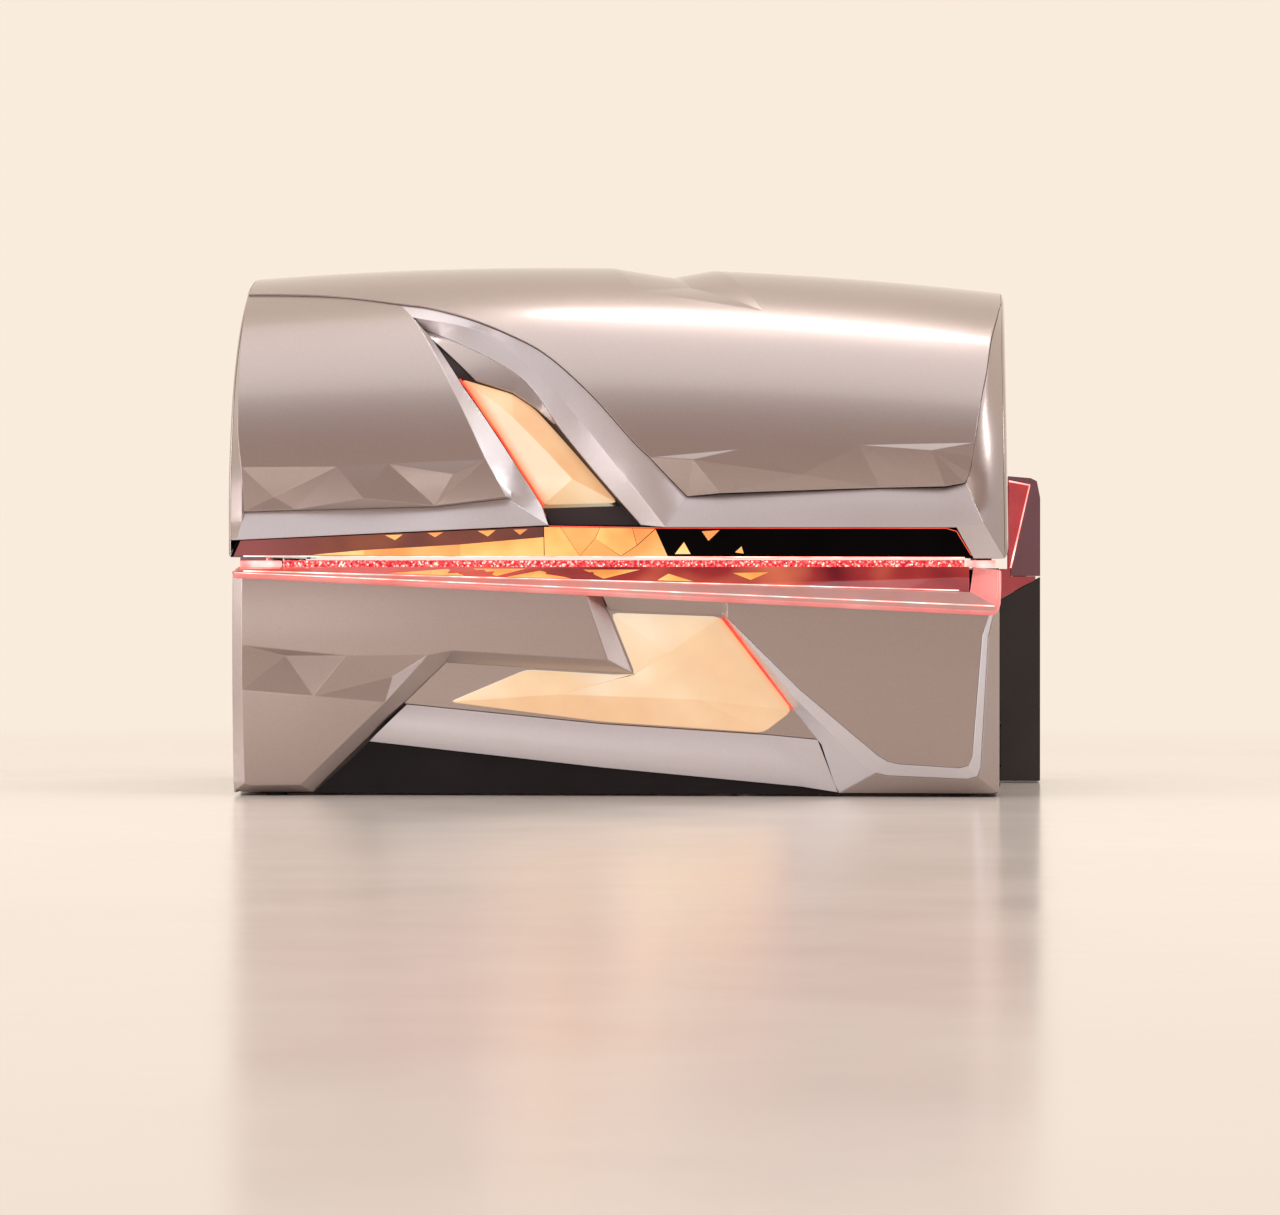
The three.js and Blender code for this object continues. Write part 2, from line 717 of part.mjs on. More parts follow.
function rib(x) {
  const outer = [];
  const inner = [];
  const low = x + Math.sign(x - crestX) * chordWidth / 2;
  const crestStep = archSteps / 2;
  const sunk = (step) => {
    if (step < ribFrontSteps) return ribFrontSink;
    return Math.abs(step - crestStep) <= 1 ? skin + padGap : ribSink;
  };
  const depth = (step) => (step < 2 ? ribDepth - 10 : ribDepth);
  for (let step = 0; step < archSteps; step += 1) {
    const along = step * archStep;
    outer.push(onArch(low, along, -sunk(step)).slice(1));
    inner.push(onArch(low, along, -Math.max(sunk(step), ribSink) - depth(step)).slice(1));
  }
  return prismX([...outer, ...inner.reverse()], x - chordWidth / 2, x + chordWidth / 2);
}

function canopyFrame() {
  const chordFront = ribFrontSink - archHalfDepth;
  const chordRear = hingeY + chordTail;
  const bodies = [];
  const holes = [];
  for (const side of [-1, 1]) {
    const [x0, x1] = spread(side, chordX, chordX + chordWidth);
    const stud = spread(side, chordX + 5, strutX - 10);
    bodies.push(
      rib(side * (chordX + chordWidth / 2)),
      block(x0, x1, chordFront, chordRear, hingeZ - 30, hingeZ + 80),
      rodX(eyeRadius - 2, x0, x1, hingeY, hingeZ),
      block(x0, x1, strutTop[0] - 18, strutTop[0] + 18, strutTop[1] - 15, hingeZ),
      rodX(strutRod, ...stud, strutTop[0], strutTop[1], 12),
    );
    holes.push(rodX(pinRadius + pinPlay, x0 - 1, x1 + 1, hingeY, hingeZ));
  }
  const reach = chordX + chordWidth / 2;
  const railFloor = domeFloorZ + acrylic + seatGap;
  const railTop = railFloor + canopyRailRise;
  const rearRail = domeFlangeRearY - canopyRail;
  const postTop = springZ + 20;
  const half = canopyRail / 2;
  bodies.push(
    rib(-ribX),
    rib(ribX),
    block(-reach, reach, chordFront, chordFront + frontRail, railFloor, railTop),
    block(-reach, reach, rearRail, domeFlangeRearY, railFloor, railTop),
    block(-reach, reach, -tube / 2, tube / 2, reflectorTopZ + seatGap, reflectorTopZ + tube),
  );
  for (const x of [-reach, -ribX, ribX, reach]) {
    const crown = springZ + archRise(x) - tube;
    bodies.push(
      block(x - half, x + half, -half, half, reflectorTopZ + 10, crown),
      block(x - half, x + half, rearRail + half, archHalfDepth - 45, springZ - 10, postTop),
      block(x - half, x + half, rearRail, domeFlangeRearY, railFloor, postTop),
      block(x - half, x + half, chordFront, chordFront + frontRail, railFloor, postTop),
    );
  }
  return cut(join(bodies), holes);
}

// Display under the front flange of the canopy acrylic, facing the person below
const display = { x: 380, length: 160, width: 70, thickness: 10.5, fromDome: 35 };

function controlDisplay() {
  const faceY = domeMidY - domeHalf - display.fromDome;
  const half = display.length / 2;
  const top = domeFloorZ - seatGap;
  return block(display.x - half, display.x + half, faceY - display.width, faceY, top - display.thickness, top);
}

// Axial fan about Z: square shroud with spokes and a shaft, and an impeller that turns on the shaft
const fanSize = 240;
const fanDepth = 50;
const fanBore = 106;
const fanHub = 32;
const fanShaft = 5;
const fanShaftTop = 42;
const spokeWidth = 10;
const spokeDepth = 6;
const bladeCount = 7;
const bladeWidth = 44;
const bladeSheet = 3;
const bladePitch = 0.5;

function fanShroud() {
  const half = fanSize / 2;
  const reach = fanBore + 4;
  const bore = rodZ(fanBore, -1, fanDepth + 1, 0, 0, 32);
  const frame = cut(block(-half, half, -half, half, 0, fanDepth), [bore]);
  const spokes = [0, 1, 2].map((i) => {
    const spoke = block(-reach, reach, -spokeWidth / 2, spokeWidth / 2, 0, spokeDepth);
    return spoke.rotateZ(i * Math.PI / 3);
  });
  const shaft = rodZ(fanShaft, spokeDepth - 1, fanShaftTop, 0, 0, 16);
  return join([frame, ...spokes, rodZ(fanHub, 0, spokeDepth), shaft]);
}

function fanImpeller() {
  const low = spokeDepth + seatGap;
  const high = fanDepth - 4;
  const bore = rodZ(fanShaft + pinPlay, 0, fanShaftTop + 1, 0, 0, 16);
  const blades = [];
  for (let i = 0; i < bladeCount; i += 1) {
    const half = [bladeWidth / 2, bladeSheet / 2];
    const blade = block(fanHub - 6, fanBore - 8, -half[0], half[0], -half[1], half[1]).rotateX(bladePitch);
    blades.push(blade.translate(0, 0, (low + high) / 2).rotateZ(i * 2 * Math.PI / bladeCount));
  }
  return cut(join([rodZ(fanHub, low, high), ...blades]), [bore]);
}

// Base front panels
const bevelDepth = -38;
const armTip = drawn(52, 343, bevelDepth);
const armFoot = drawn(-476, 373, bevelDepth);
const panelFoot = floorGap + 4;
const endSinkLeft = -22;
const endSinkRight = -45;
const legFoot = drawn(-852, panelFoot, bevelDepth);

function frontPanelLeft() {
  const outerTop = [-baseHalf, frontTop(-baseHalf), endSinkLeft];
  const outerFoot = [-baseHalf, panelFoot, endSinkLeft];
  const innerX = -1042;
  const footZ = 31;
  const innerTop = drawnTop(innerX);
  const facetA = drawn(innerX, 422);
  const facetB = drawn(-922, 392, -20);
  const facetC = drawn(-749, 393);
  const facetD = drawn(-520, 395);
  const facetE = drawn(innerX, 296);
  const facetF = drawn(-841, 280, 4);
  const facetG = drawn(-620, 334, -16);
  const facetH = drawn(-640, 262);
  const innerFoot = drawn(innerX, footZ);
  const legInner = drawn(-880, footZ);
  const armUnder = drawn(-449, 408);
  const armNose = drawn(-16, 382);
  const armTop = drawnTop(-80);
  const armOuterTop = drawnTop(-40, bevelDepth);
  return frontSkin([
    [outerTop, outerFoot, innerFoot, facetE, facetA, innerTop],
    [outerFoot, legFoot, legInner, innerFoot],
    [legFoot, armFoot, armUnder, facetD, facetH, legInner],
    [armFoot, armTip, armNose, armUnder],
    [armTip, armOuterTop, armTop, armNose],
    [innerTop, facetA, facetD, armUnder, armNose, armTop],
    [facetA, facetB, facetC], [facetA, facetC, facetD], [facetA, facetE, facetB],
    [facetB, facetE, facetF], [facetB, facetF, facetC], [facetC, facetF, facetG],
    [facetC, facetG, facetD], [facetF, facetH, facetG], [facetG, facetH, facetD],
    [facetE, innerFoot, legInner, facetH, facetF],
  ]);
}

function frontPanelRight() {
  const stripTop = drawnTop(-36);
  const stripFoot = drawn(-15, 520, bevelDepth);
  const bandTop = drawn(300, 508, bevelDepth);
  const bandSteps = raised([
    drawn(503, 238), drawn(577, 146), drawn(614, 34), drawn(626, panelFoot),
  ], bevelDepth);
  const outerFoot = [baseHalf, panelFoot, bevelDepth];
  const outerTop = [baseHalf, frontTop(baseHalf), endSinkRight];
  const flatTop = drawn(317, 499);
  const flatBend = drawn(519, 299);
  const flatFoot = drawn(760, 95);
  const flatEnd = drawn(994, 80);
  const flatSide = drawn(1024, 450);
  const flatCorner = drawnTop(1046);
  const stripEnd = drawnTop(317);
  return frontSkin([
    [stripTop, stripFoot, bandTop, flatTop, stripEnd],
    [bandTop, ...bandSteps, flatFoot, flatBend, flatTop],
    [bandSteps[3], outerFoot, flatEnd, flatFoot],
    [outerFoot, outerTop, flatCorner, flatSide, flatEnd],
    [flatTop, flatBend, flatFoot, flatEnd, flatSide, flatCorner, stripEnd],
  ]);
}

// Recessed bezel plate that carries the amber panel, and the panel with its ridges
const bezelFace = bevelDepth - skin - seatGap;

function frontBezel() {
  return frontSkin([raised([
    [-610, 262], [-492, 388], [40, 356], [-34, 532], [312, 520], [520, 238], [580, 160.5], [563, 159.8],
    [416, 173.8], [-38, 202.8], [-583, 256.8],
  ].map(([x, z]) => drawn(x, z)), bezelFace)]);
}

function frontLightPanel() {
  const wall = 8;
  const rim = raised([
    [-10, 513], [296, 502], [497, 240], [416, 178], [-38, 209], [-464, 263], [-248, 354], [60, 337],
  ].map(([x, z]) => drawn(x, z)), bezelFace + wall + seatGap);
  const crown = bezelFace + 20;
  const [topLeft, topRight, right, footRight, foot, left, shoulder, notch] = rim;
  const peak = drawn(150, 400, crown);
  const knee = drawn(240, 270, crown);
  const heel = drawn(-150, 285, crown - 4);
  return frontSkin([
    [topLeft, notch, peak], [topLeft, peak, topRight], [topRight, peak, knee, right],
    [right, knee, footRight], [footRight, knee, heel, foot], [notch, shoulder, heel],
    [notch, heel, knee, peak], [shoulder, left, heel], [left, foot, heel],
  ], wall);
}

// Convex lower rail under the bezel plate; it flattens towards the right leg
function frontLowerRail() {
  const top = [[-583, 256], [-38, 202], [416, 173], [563, 159]];
  const foot = [[-690, 152], [-38, 80], [519, 28], [620, 12]];
  const profile = [[0, -40], [0.2, -34], [0.45, -30], [0.65, -30], [0.85, -34], [1, -42]];
  const flatLevel = -40;
  const rows = profile.map(([share, height]) => top.map(([x, z], i) => {
    const level = i + 1 < top.length ? height : flatLevel;
    return drawn(x + (foot[i][0] - x) * share, z + (foot[i][1] - z) * share, level);
  }));
  const faces = [];
  for (let row = 0; row + 1 < rows.length; row += 1) {
    for (let i = 0; i + 1 < top.length; i += 1) {
      faces.push([rows[row][i], rows[row + 1][i], rows[row + 1][i + 1], rows[row][i + 1]]);
    }
  }
  return frontSkin(faces);
}

// Black kick plate behind the rail
const plinthHalf = baseHalf - 70;
const plinthSheet = 5;
const plinthTopZ = 210;

function plinth() {
  const back = frontRailY - seatGap;
  return block(-plinthHalf, plinthHalf, back - plinthSheet, back, floorGap, plinthTopZ);
}

// Ledge between the front panels and the glass, with its raised lip and mitred right corner
const ledgeFootLeft = 629.5;
const ledgeFootRight = 571;
const fasciaEnd = baseHalf - 84;

function ledgeFoot(x) {
  return ledgeFootLeft + (ledgeFootRight - ledgeFootLeft) * (x + baseHalf) / (fasciaEnd + baseHalf);
}

function baseRim() {
  const left = -baseHalf + 2;
  const right = baseHalf - 10;
  const lipLeft = 3.3;
  const lipRight = 15;
  const lipHeight = 2;
  const footLeft = [left, frontTop(left) + seamGap, lipHeight];
  const footRight = [right, frontTop(right) + seamGap, lipHeight];
  const topLeft = [left, footLeft[1] + lipLeft, lipHeight];
  const topRight = [right, footRight[1] + lipRight, lipHeight];
  const backLeft = [left, ledgeFoot(left), -12];
  const backRight = [fasciaEnd + 2, ledgeFootRight, -42];
  return frontSkin([
    [footLeft, footRight, topRight, topLeft], [topLeft, topRight, backRight, backLeft],
    [topRight, [baseHalf - 2, 632, -34], [fasciaEnd + 12, baseTopZ + 3, -66], backRight],
  ], 14);
}

function baseFascia() {
  const left = -baseHalf + endPlate + 1;
  const lift = 0.8;
  return frontSkin([[
    [left, ledgeFoot(left) + lift, -12], [fasciaEnd, ledgeFoot(fasciaEnd) + lift, -42],
    [fasciaEnd, fasciaTopZ, fasciaTopHeight], [left, fasciaTopZ, fasciaTopHeight],
  ]], fasciaGlass);
}

// Lit crystal bar on the front flange of the bed
const lightBarSpan = [43.5 - opticHalf, opticHalf - 8.5];
const lightBarSetback = 14;
const lightBarDepth = 28;
const lightBarRise = 23;

function lightBar() {
  const front = bedFlangeFrontY + lightBarSetback;
  return block(...lightBarSpan, front, front + lightBarDepth, baseTopZ + seatGap, baseTopZ + lightBarRise);
}

// End covers with a shelf beside the bed, slotted for the gas spring
function baseEnd(side) {
  const back = skin + seamGap - (side < 0 ? endSinkLeft : endSinkRight);
  const levels = [floorGap + 2, 160, 310, bellyZ, 560, baseTopZ - 12];
  const front = levels.map((z) => [frontPlane(z) + back, z]);
  const rearEnd = columnFrontY - 3;
  const outline = [...front, [bedFlangeFrontY, baseTopZ], [rearEnd, baseTopZ], [rearEnd, floorGap + 2]];
  const inner = baseHalf - endPlate;
  const plate = prismX(outline, ...spread(side, inner, baseHalf));
  const wellSpan = spread(side, strutX - 24, strutX + 24);
  const well = block(...wellSpan, strutWell.frontY + 10, columnFrontY, strutWell.floorZ, baseTopZ + 20);
  const deckSpan = spread(side, opticHalf + seatGap, inner + 2);
  const deck = block(...deckSpan, bedFlangeFrontY, rearEnd, baseTopZ - acrylic, baseTopZ);
  return cut(join([plate, deck]), [well]);
}

// Rear cover: back wall and top shelf, with air slots behind the fan
const fanX = 300;
const fanZ = railTopZ + seatGap + fanSize / 2;
const rearWallY = rearY - 30;
const slotPitch = 26;
const slotHeight = 10;
const slotHalf = 95;
const slotRows = 3;

function rearWall() {
  const half = columnInnerX - seatGap;
  const face = rearWallY + columnWall;
  const shelfZ = baseTopZ - acrylic;
  const wall = prismX([
    [face, floorGap + 6], [face, baseTopZ], [columnFrontY + 1, baseTopZ], [columnFrontY + 1, shelfZ],
    [rearWallY, shelfZ], [rearWallY, floorGap + 6],
  ], -half, half);
  const slots = [];
  for (let i = -slotRows; i <= slotRows; i += 1) {
    const z = fanZ + i * slotPitch - slotHeight / 2;
    slots.push(block(fanX - slotHalf, fanX + slotHalf, rearWallY - 5, face + 5, z, z + slotHeight));
  }
  return cut(wall, [...slots, rodY(glandNeck + 1, rearWallY - 5, face + 5, glandX, glandZ)]);
}

// Cable gland in the rear wall
const glandX = baseHalf - 172;
const glandZ = 130;
const glandNeck = 12;
const glandNut = 19;
const glandNutDepth = 9;

function mainsGland() {
  const face = rearWallY + columnWall + seatGap;
  return join([
    rodY(glandNeck, rearWallY - 14, rearY - 2, glandX, glandZ),
    rodY(glandNut, face, face + glandNutDepth, glandX, glandZ, 6),
  ]);
}

// Column and cowl at one rear corner; the left pair mirrors the right
const columnTopInner = 545;
const columnTopOuter = 613;
const cowlFootZ = 616.4;

function columnTop(x) {
  const outer = overallLength / 2;
  return columnTopInner + (columnTopOuter - columnTopInner) * (x - columnInnerX) / (outer - columnInnerX);
}

function mirrored(geometry, side) {
  return side > 0 ? geometry : geometryOf(solid(geometry).mirror([1, 0, 0]));
}

function column(side) {
  const outer = overallLength / 2;
  const box = [
    [columnInnerX, floorGap], [outer, floorGap], [outer, columnTopOuter], [columnInnerX, columnTopInner],
  ];
  const [left, right] = [columnInnerX + columnWall, outer - columnWall];
  const hollow = [[left, -1], [right, -1], [right, columnTopOuter - 12], [left, columnTopInner - 7]];
  return mirrored(cut(prismY(box, columnFrontY, rearY), [
    prismY(hollow, columnFrontY + columnWall, rearY - columnWall),
    block(columnInnerX - 5, columnInnerX + 10, hingeY - 60, hingeY + 60, -1, railTopZ + 20),
    block(uprightX - 10, uprightX + tube + 10, hingeY - 45, hingeY + 45, railTopZ, hingeZ),
  ]), side);
}

const cowlTopZ = 914;
const cowlRoofZ = 890;
const lensFootX = cowlInnerX + 9;
const lensFootZ = 640.5;
const lensTopX = overallLength / 2 - 30.4;
const lensTopZ = 888;
const lensInnerTopZ = 899.8;
const lensTailX = overallLength / 2 - 14;
const lensShoulder = 22;
const lensSheet = 5;
const lensSetback = 2;

function cowl(side) {
  const outer = overallLength / 2;
  const past = cowlInnerX - 5;
  const below = cowlFootZ - 16;
  const hood = [
    [cowlInnerX, cowlFootZ], [outer, cowlFootZ], [outer, cowlTopZ - 65], [outer - 10, cowlTopZ - 15],
    [outer - 28, cowlTopZ - 6], [cowlInnerX, cowlTopZ],
  ];
  const window = [
    [past, below], [lensFootX, below], [lensFootX, lensFootZ], [lensTopX, lensTopZ], [past, lensInnerTopZ],
  ];
  return mirrored(cut(prismY(hood, columnFrontY, rearY), [
    block(past, outer - cowlWall, columnFrontY + cowlWall, rearY - cowlWall, below, cowlRoofZ),
    prismY(window, columnFrontY - 5, columnFrontY + cowlWall + 5),
  ]), side);
}

function cowlLens(side) {
  const inner = cowlInnerX + 1;
  const tailInner = columnInnerX + 1;
  const back = columnFrontY + lensSetback;
  const tailZ = cowlFootZ - 0.8;
  const outline = [
    [tailInner, columnTop(tailInner) + 1], [lensTailX, columnTop(lensTailX) + 1], [lensTailX, tailZ],
    [lensFootX - 0.6, tailZ], [lensFootX - 0.6, lensFootZ + 0.5], [lensTopX - 0.8, lensTopZ - 1],
    [inner, lensInnerTopZ - 2.2], [inner, tailZ + lensShoulder], [tailInner, tailZ + lensShoulder],
  ];
  return mirrored(prismY(outline, back, back + lensSheet), side);
}

// Bed optics
function bedLine(drop, half = bedHalf, count = 16) {
  const points = [];
  for (let i = 0; i <= count; i += 1) {
    const reach = half * (2 * i / count - 1);
    points.push([bedMidY + reach, baseTopZ - bedSag * (1 - (reach / bedHalf) ** 2) - drop]);
  }
  return points;
}

function bedAcrylic() {
  const rearEdgeY = columnFrontY + 1 - seatGap;
  return prismX([
    [bedFlangeFrontY + seatGap, baseTopZ - acrylic], ...bedLine(acrylic), [rearEdgeY, baseTopZ - acrylic],
    [rearEdgeY, baseTopZ], ...bedLine(0).reverse(), [bedFlangeFrontY + seatGap, baseTopZ],
  ], -opticHalf, opticHalf);
}

function lowerReflector() {
  const half = bedHalf - 4;
  const rimZ = bedLine(acrylic + seatGap, half)[0][1];
  const inner = bedLine(acrylic + reflectorDrop, half);
  const outer = bedLine(acrylic + reflectorDrop + reflectorSheet, half);
  const [left, right] = [bedMidY - half, bedMidY + half];
  outer[0][0] -= reflectorSheet;
  outer[outer.length - 1][0] += reflectorSheet;
  const sheet = [
    [left, rimZ], ...inner, [right, rimZ], [right + reflectorSheet, rimZ],
    ...outer.reverse(), [left - reflectorSheet, rimZ],
  ];
  const footZ = beamTopZ + seatGap;
  const wall = [[left, footZ], [right, footZ], ...bedLine(acrylic + seatGap, half).reverse()];
  return join([
    prismX(sheet, -endWallX, endWallX),
    prismX(wall, -endWallX, endWall - endWallX), prismX(wall, endWallX - endWall, endWallX),
  ]);
}

function bedLamp(reach) {
  return [bedMidY + reach, baseTopZ - acrylic - lampDrop - bedSag * (1 - (reach / bedHalf) ** 2)];
}

// Steel chassis: floor rails, posts and beams under the bed, rear uprights with hinge eyes, spring brackets
const beamTopZ = 400;
const footX = baseHalf - 112;
const crossX = [-footX, -400, 400, footX];
const floorRailHalf = baseHalf - 72;
const beamFrontY = bedMidY - bedHalf + 20;
const beamRearY = bedMidY + bedHalf - 20;
const lugHalf = 18;

function chassis() {
  const bodies = [
    block(-floorRailHalf, floorRailHalf, frontRailY, frontRailY + tube, railZ, railTopZ),
    block(-uprightX - tube, uprightX + tube, hingeY - tube / 2, hingeY + tube / 2, railZ, railTopZ),
  ];
  const holes = [];
  for (const x of crossX) {
    bodies.push(block(x - tube / 2, x + tube / 2, frontRailY, hingeY, railZ, railTopZ));
  }
  for (const side of [-1, 1]) {
    const beam = spread(side, footX - tube / 2, footX + tube / 2);
    bodies.push(block(...beam, beamFrontY, beamRearY, beamTopZ - tube, beamTopZ));
    for (const y of [beamFrontY, beamRearY - tube]) {
      bodies.push(block(...beam, y, y + tube, railZ, beamTopZ - 1));
    }
    const outer = overallLength / 2;
    const upright = spread(side, uprightX, uprightX + tube);
    const plate = spread(side, columnInnerX + columnWall + seatGap, outer - columnWall - seatGap);
    const hood = spread(side, uprightX, outer - cowlWall - seatGap);
    const lug = spread(side, strutX + 17, strutX + 33);
    const pin = spread(side, strutX - 12, strutX + 20);
    bodies.push(
      block(...upright, hingeY - tube / 2, hingeY + tube / 2, railZ, hingeZ),
      rodX(eyeRadius, ...upright, hingeY, hingeZ),
      block(...plate, hingeY - 60, hingeY + 60, 500, 508),
      block(...hood, hingeY - 50, hingeY + 50, 660, 668),
      block(...lug, hingeY - lugHalf, hingeY + lugHalf, railZ, strutFootZ + lugHalf),
      rodX(strutPin, ...pin, hingeY, strutFootZ, 16),
    );
    holes.push(rodX(pinRadius + pinPlay, upright[0] - 1, upright[1] + 1, hingeY, hingeZ));
  }
  return cut(join(bodies), holes);
}

function hingePin(side) {
  return rodX(pinRadius, ...spread(side, chordX - 3, uprightX + tube + 4), hingeY, hingeZ);
}

function foot() {
  const profile = [
    [0, 0], [footRadius, 0], [footRadius, 8], [12, 14], [8, 14], [8, railZ - seatGap], [0, railZ - seatGap],
  ];
  const geometry = new THREE.LatheGeometry(profile.map(([r, z]) => new THREE.Vector2(r, z)), 20);
  return geometry.rotateX(Math.PI / 2);
}

// Gear box with cooling ribs, resting on a cross rail
const gear = { x: -400, y: -50, length: 320, width: 300, height: 101 };
const gearRib = { pitch: 40, sheet: 6, rise: 24, inset: 20 };

function ballastBox() {
  const floor = railTopZ + seatGap;
  const top = floor + gear.height;
  const [left, right] = [gear.x - gear.length / 2, gear.x + gear.length / 2];
  const [front, back] = [gear.y - gear.width / 2, gear.y + gear.width / 2];
  const bodies = [block(left, right, front, back, floor, top)];
  for (let x = left + gearRib.inset - gearRib.sheet / 2; x < right - gearRib.inset; x += gearRib.pitch) {
    const span = [front + gearRib.inset, back - gearRib.inset];
    bodies.push(block(x, x + gearRib.sheet, ...span, top - 1, top + gearRib.rise));
  }
  return join(bodies);
}

// Gas springs, built upright from the lower eye
function strutCylinder() {
  const eye = rodX(strutPin + 8, -9, 9, 0, 0, 20);
  return cut(join([eye, rodZ(strutBody, 8, strutBodyLength, 0, 0, 16)]), [
    rodX(strutPin + pinPlay, -12, 12, 0, 0, 16),
    rodZ(strutRod + pinPlay, 100, strutBodyLength + 5, 0, 0, 16),
  ]);
}

function strutRodBody(length) {
  const bore = strutRod + strutEyePlay;
  const eye = rodX(bore + 8, -6, 6, 0, length, 24);
  return cut(join([eye, rodZ(strutRod, strutRodStart, length - bore - 3, 0, 0, 16)]), [
    rodX(bore, -12, 12, 0, length, 24),
  ]);
}

// Assembly
add("canopy", "canopy_barrel", canopyBarrel(), champagne);
add("canopy", "canopy_front_frame", canopyFrontFrame(), champagne);
add("canopy", "slash_bezel", slashBezel(), champagne);
add("canopy", "slash_light_panel", slashLightPanel(), amber);
add("canopy", "canopy_fascia", canopyFascia(), black);
add("canopy", "canopy_end_left", canopyEnd(-1), champagne);
add("canopy", "canopy_end_right", canopyEnd(1), champagne);
add("canopy", "canopy_acrylic", canopyAcrylic(), clear);
add("canopy", "upper_reflector", upperReflector(), mirror);
for (let i = 0; i < lampPairCount; i += 1) {
  const last = 2 * lampPairCount - 1;
  const pair = lampPair(domeLamp(2 * i / last), domeLamp((2 * i + 1) / last));
  add("canopy", `upper_lamp_pair_${i + 1}`, pair, lampWhite);
}
add("canopy", "canopy_frame", canopyFrame(), steel);
add("canopy", "control_display", controlDisplay(), black);
const canopyFanX = 300;
const canopyFanZ = reflectorTopZ + tube + seatGap;
add("canopy", "canopy_fan_shroud", fanShroud(), black).position.set(canopyFanX, 0, canopyFanZ);
add("canopy", "canopy_fan_impeller", fanImpeller(), rubber).position.set(canopyFanX, 0, canopyFanZ);

add("base", "chassis", chassis(), steel);
const footFrontY = frontRailY + footRadius + 2;
for (const [word, side] of [["left", -1], ["right", 1]]) {
  add("base", `foot_front_${word}`, foot(), rubber).position.set(side * footX, footFrontY, 0);
  add("base", `foot_rear_${word}`, foot(), rubber).position.set(side * footX, hingeY, 0);
}
add("base", "front_panel_left", frontPanelLeft(), champagne);
add("base", "front_panel_right", frontPanelRight(), champagne);
add("base", "front_bezel", frontBezel(), champagne);
add("base", "front_light_panel", frontLightPanel(), amber);
add("base", "front_lower_rail", frontLowerRail(), silver);
add("base", "plinth", plinth(), black);
add("base", "base_rim", baseRim(), silver);
add("base", "base_fascia", baseFascia(), black);
add("base", "light_bar", lightBar(), redGlow);
add("base", "rear_wall", rearWall(), black);
add("base", "mains_gland", mainsGland(), rubber);
for (const [side, word] of [[-1, "left"], [1, "right"]]) {
  add("base", `base_end_${word}`, baseEnd(side), champagne);
  add("base", `column_${word}`, column(side), black);
  add("base", `cowl_${word}`, cowl(side), mauve);
  add("base", `cowl_lens_${word}`, cowlLens(side), redGlow);
  add("base", `hinge_pin_${word}`, hingePin(side), steel);
}
add("base", "bed_acrylic", bedAcrylic(), clear);
add("base", "lower_reflector", lowerReflector(), mirror);
for (let i = 0; i < lampPairCount; i += 1) {
  const reach = (2 * i - lampPairCount + 0.5) * lampPairGap;
  const pair = lampPair(bedLamp(reach), bedLamp(reach + lampPairGap));
  add("base", `lower_lamp_pair_${i + 1}`, pair, lampWhite);
}
add("base", "ballast_box", ballastBox(), black);
for (const [name, geometry, finish] of [
  ["fan_shroud", fanShroud(), black], ["fan_impeller", fanImpeller(), rubber],
]) {
  const mesh = add("base", name, geometry, finish);
  mesh.rotation.x = Math.PI / 2;
  mesh.position.set(fanX, hingeY + fanDepth / 2, fanZ);
}

const strutRise = strutTop[1] - strutFootZ;
const strutLength = Math.hypot(strutTop[0] - hingeY, strutRise);
const strutLean = Math.atan2(hingeY - strutTop[0], strutRise);
for (const [side, word] of [[-1, "left"], [1, "right"]]) {
  for (const [name, geometry, finish] of [
    [`strut_cylinder_${word}`, strutCylinder(), black],
    [`strut_rod_${word}`, strutRodBody(strutLength), steel],
  ]) {
    const mesh = add("struts", name, geometry, finish);
    mesh.rotation.x = strutLean;
    mesh.position.set(side * strutX, hingeY, strutFootZ);
  }
}

const bed = new THREE.Group();
bed.add(nodes.base, nodes.canopy, nodes.struts);

export default bed;
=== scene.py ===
import bpy
import bmesh
import math
import random
from mathutils import Matrix, Vector
from mathutils.geometry import tessellate_polygon


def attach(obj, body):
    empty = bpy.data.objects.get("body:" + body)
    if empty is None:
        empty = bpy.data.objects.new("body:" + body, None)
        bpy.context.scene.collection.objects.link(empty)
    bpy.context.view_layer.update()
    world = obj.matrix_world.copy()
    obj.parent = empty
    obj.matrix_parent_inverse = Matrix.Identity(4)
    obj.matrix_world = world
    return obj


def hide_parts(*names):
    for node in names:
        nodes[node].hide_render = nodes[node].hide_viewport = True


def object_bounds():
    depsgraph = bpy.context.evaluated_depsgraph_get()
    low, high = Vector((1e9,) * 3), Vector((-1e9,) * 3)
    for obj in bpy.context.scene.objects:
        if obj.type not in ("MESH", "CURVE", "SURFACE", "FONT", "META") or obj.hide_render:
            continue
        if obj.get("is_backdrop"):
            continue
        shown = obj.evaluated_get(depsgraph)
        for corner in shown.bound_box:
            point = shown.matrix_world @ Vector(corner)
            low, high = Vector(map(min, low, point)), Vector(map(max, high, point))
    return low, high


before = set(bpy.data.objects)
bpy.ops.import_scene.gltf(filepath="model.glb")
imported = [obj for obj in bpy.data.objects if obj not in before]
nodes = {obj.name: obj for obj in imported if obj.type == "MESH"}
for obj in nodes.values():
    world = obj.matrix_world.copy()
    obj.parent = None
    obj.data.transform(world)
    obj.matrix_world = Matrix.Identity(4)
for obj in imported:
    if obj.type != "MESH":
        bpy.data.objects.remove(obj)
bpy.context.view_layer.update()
scene = bpy.context.scene
print("frame loaded:", len(nodes), "nodes")

# Drawings and settings are in millimetres, meshes in metres
mm = 0.001

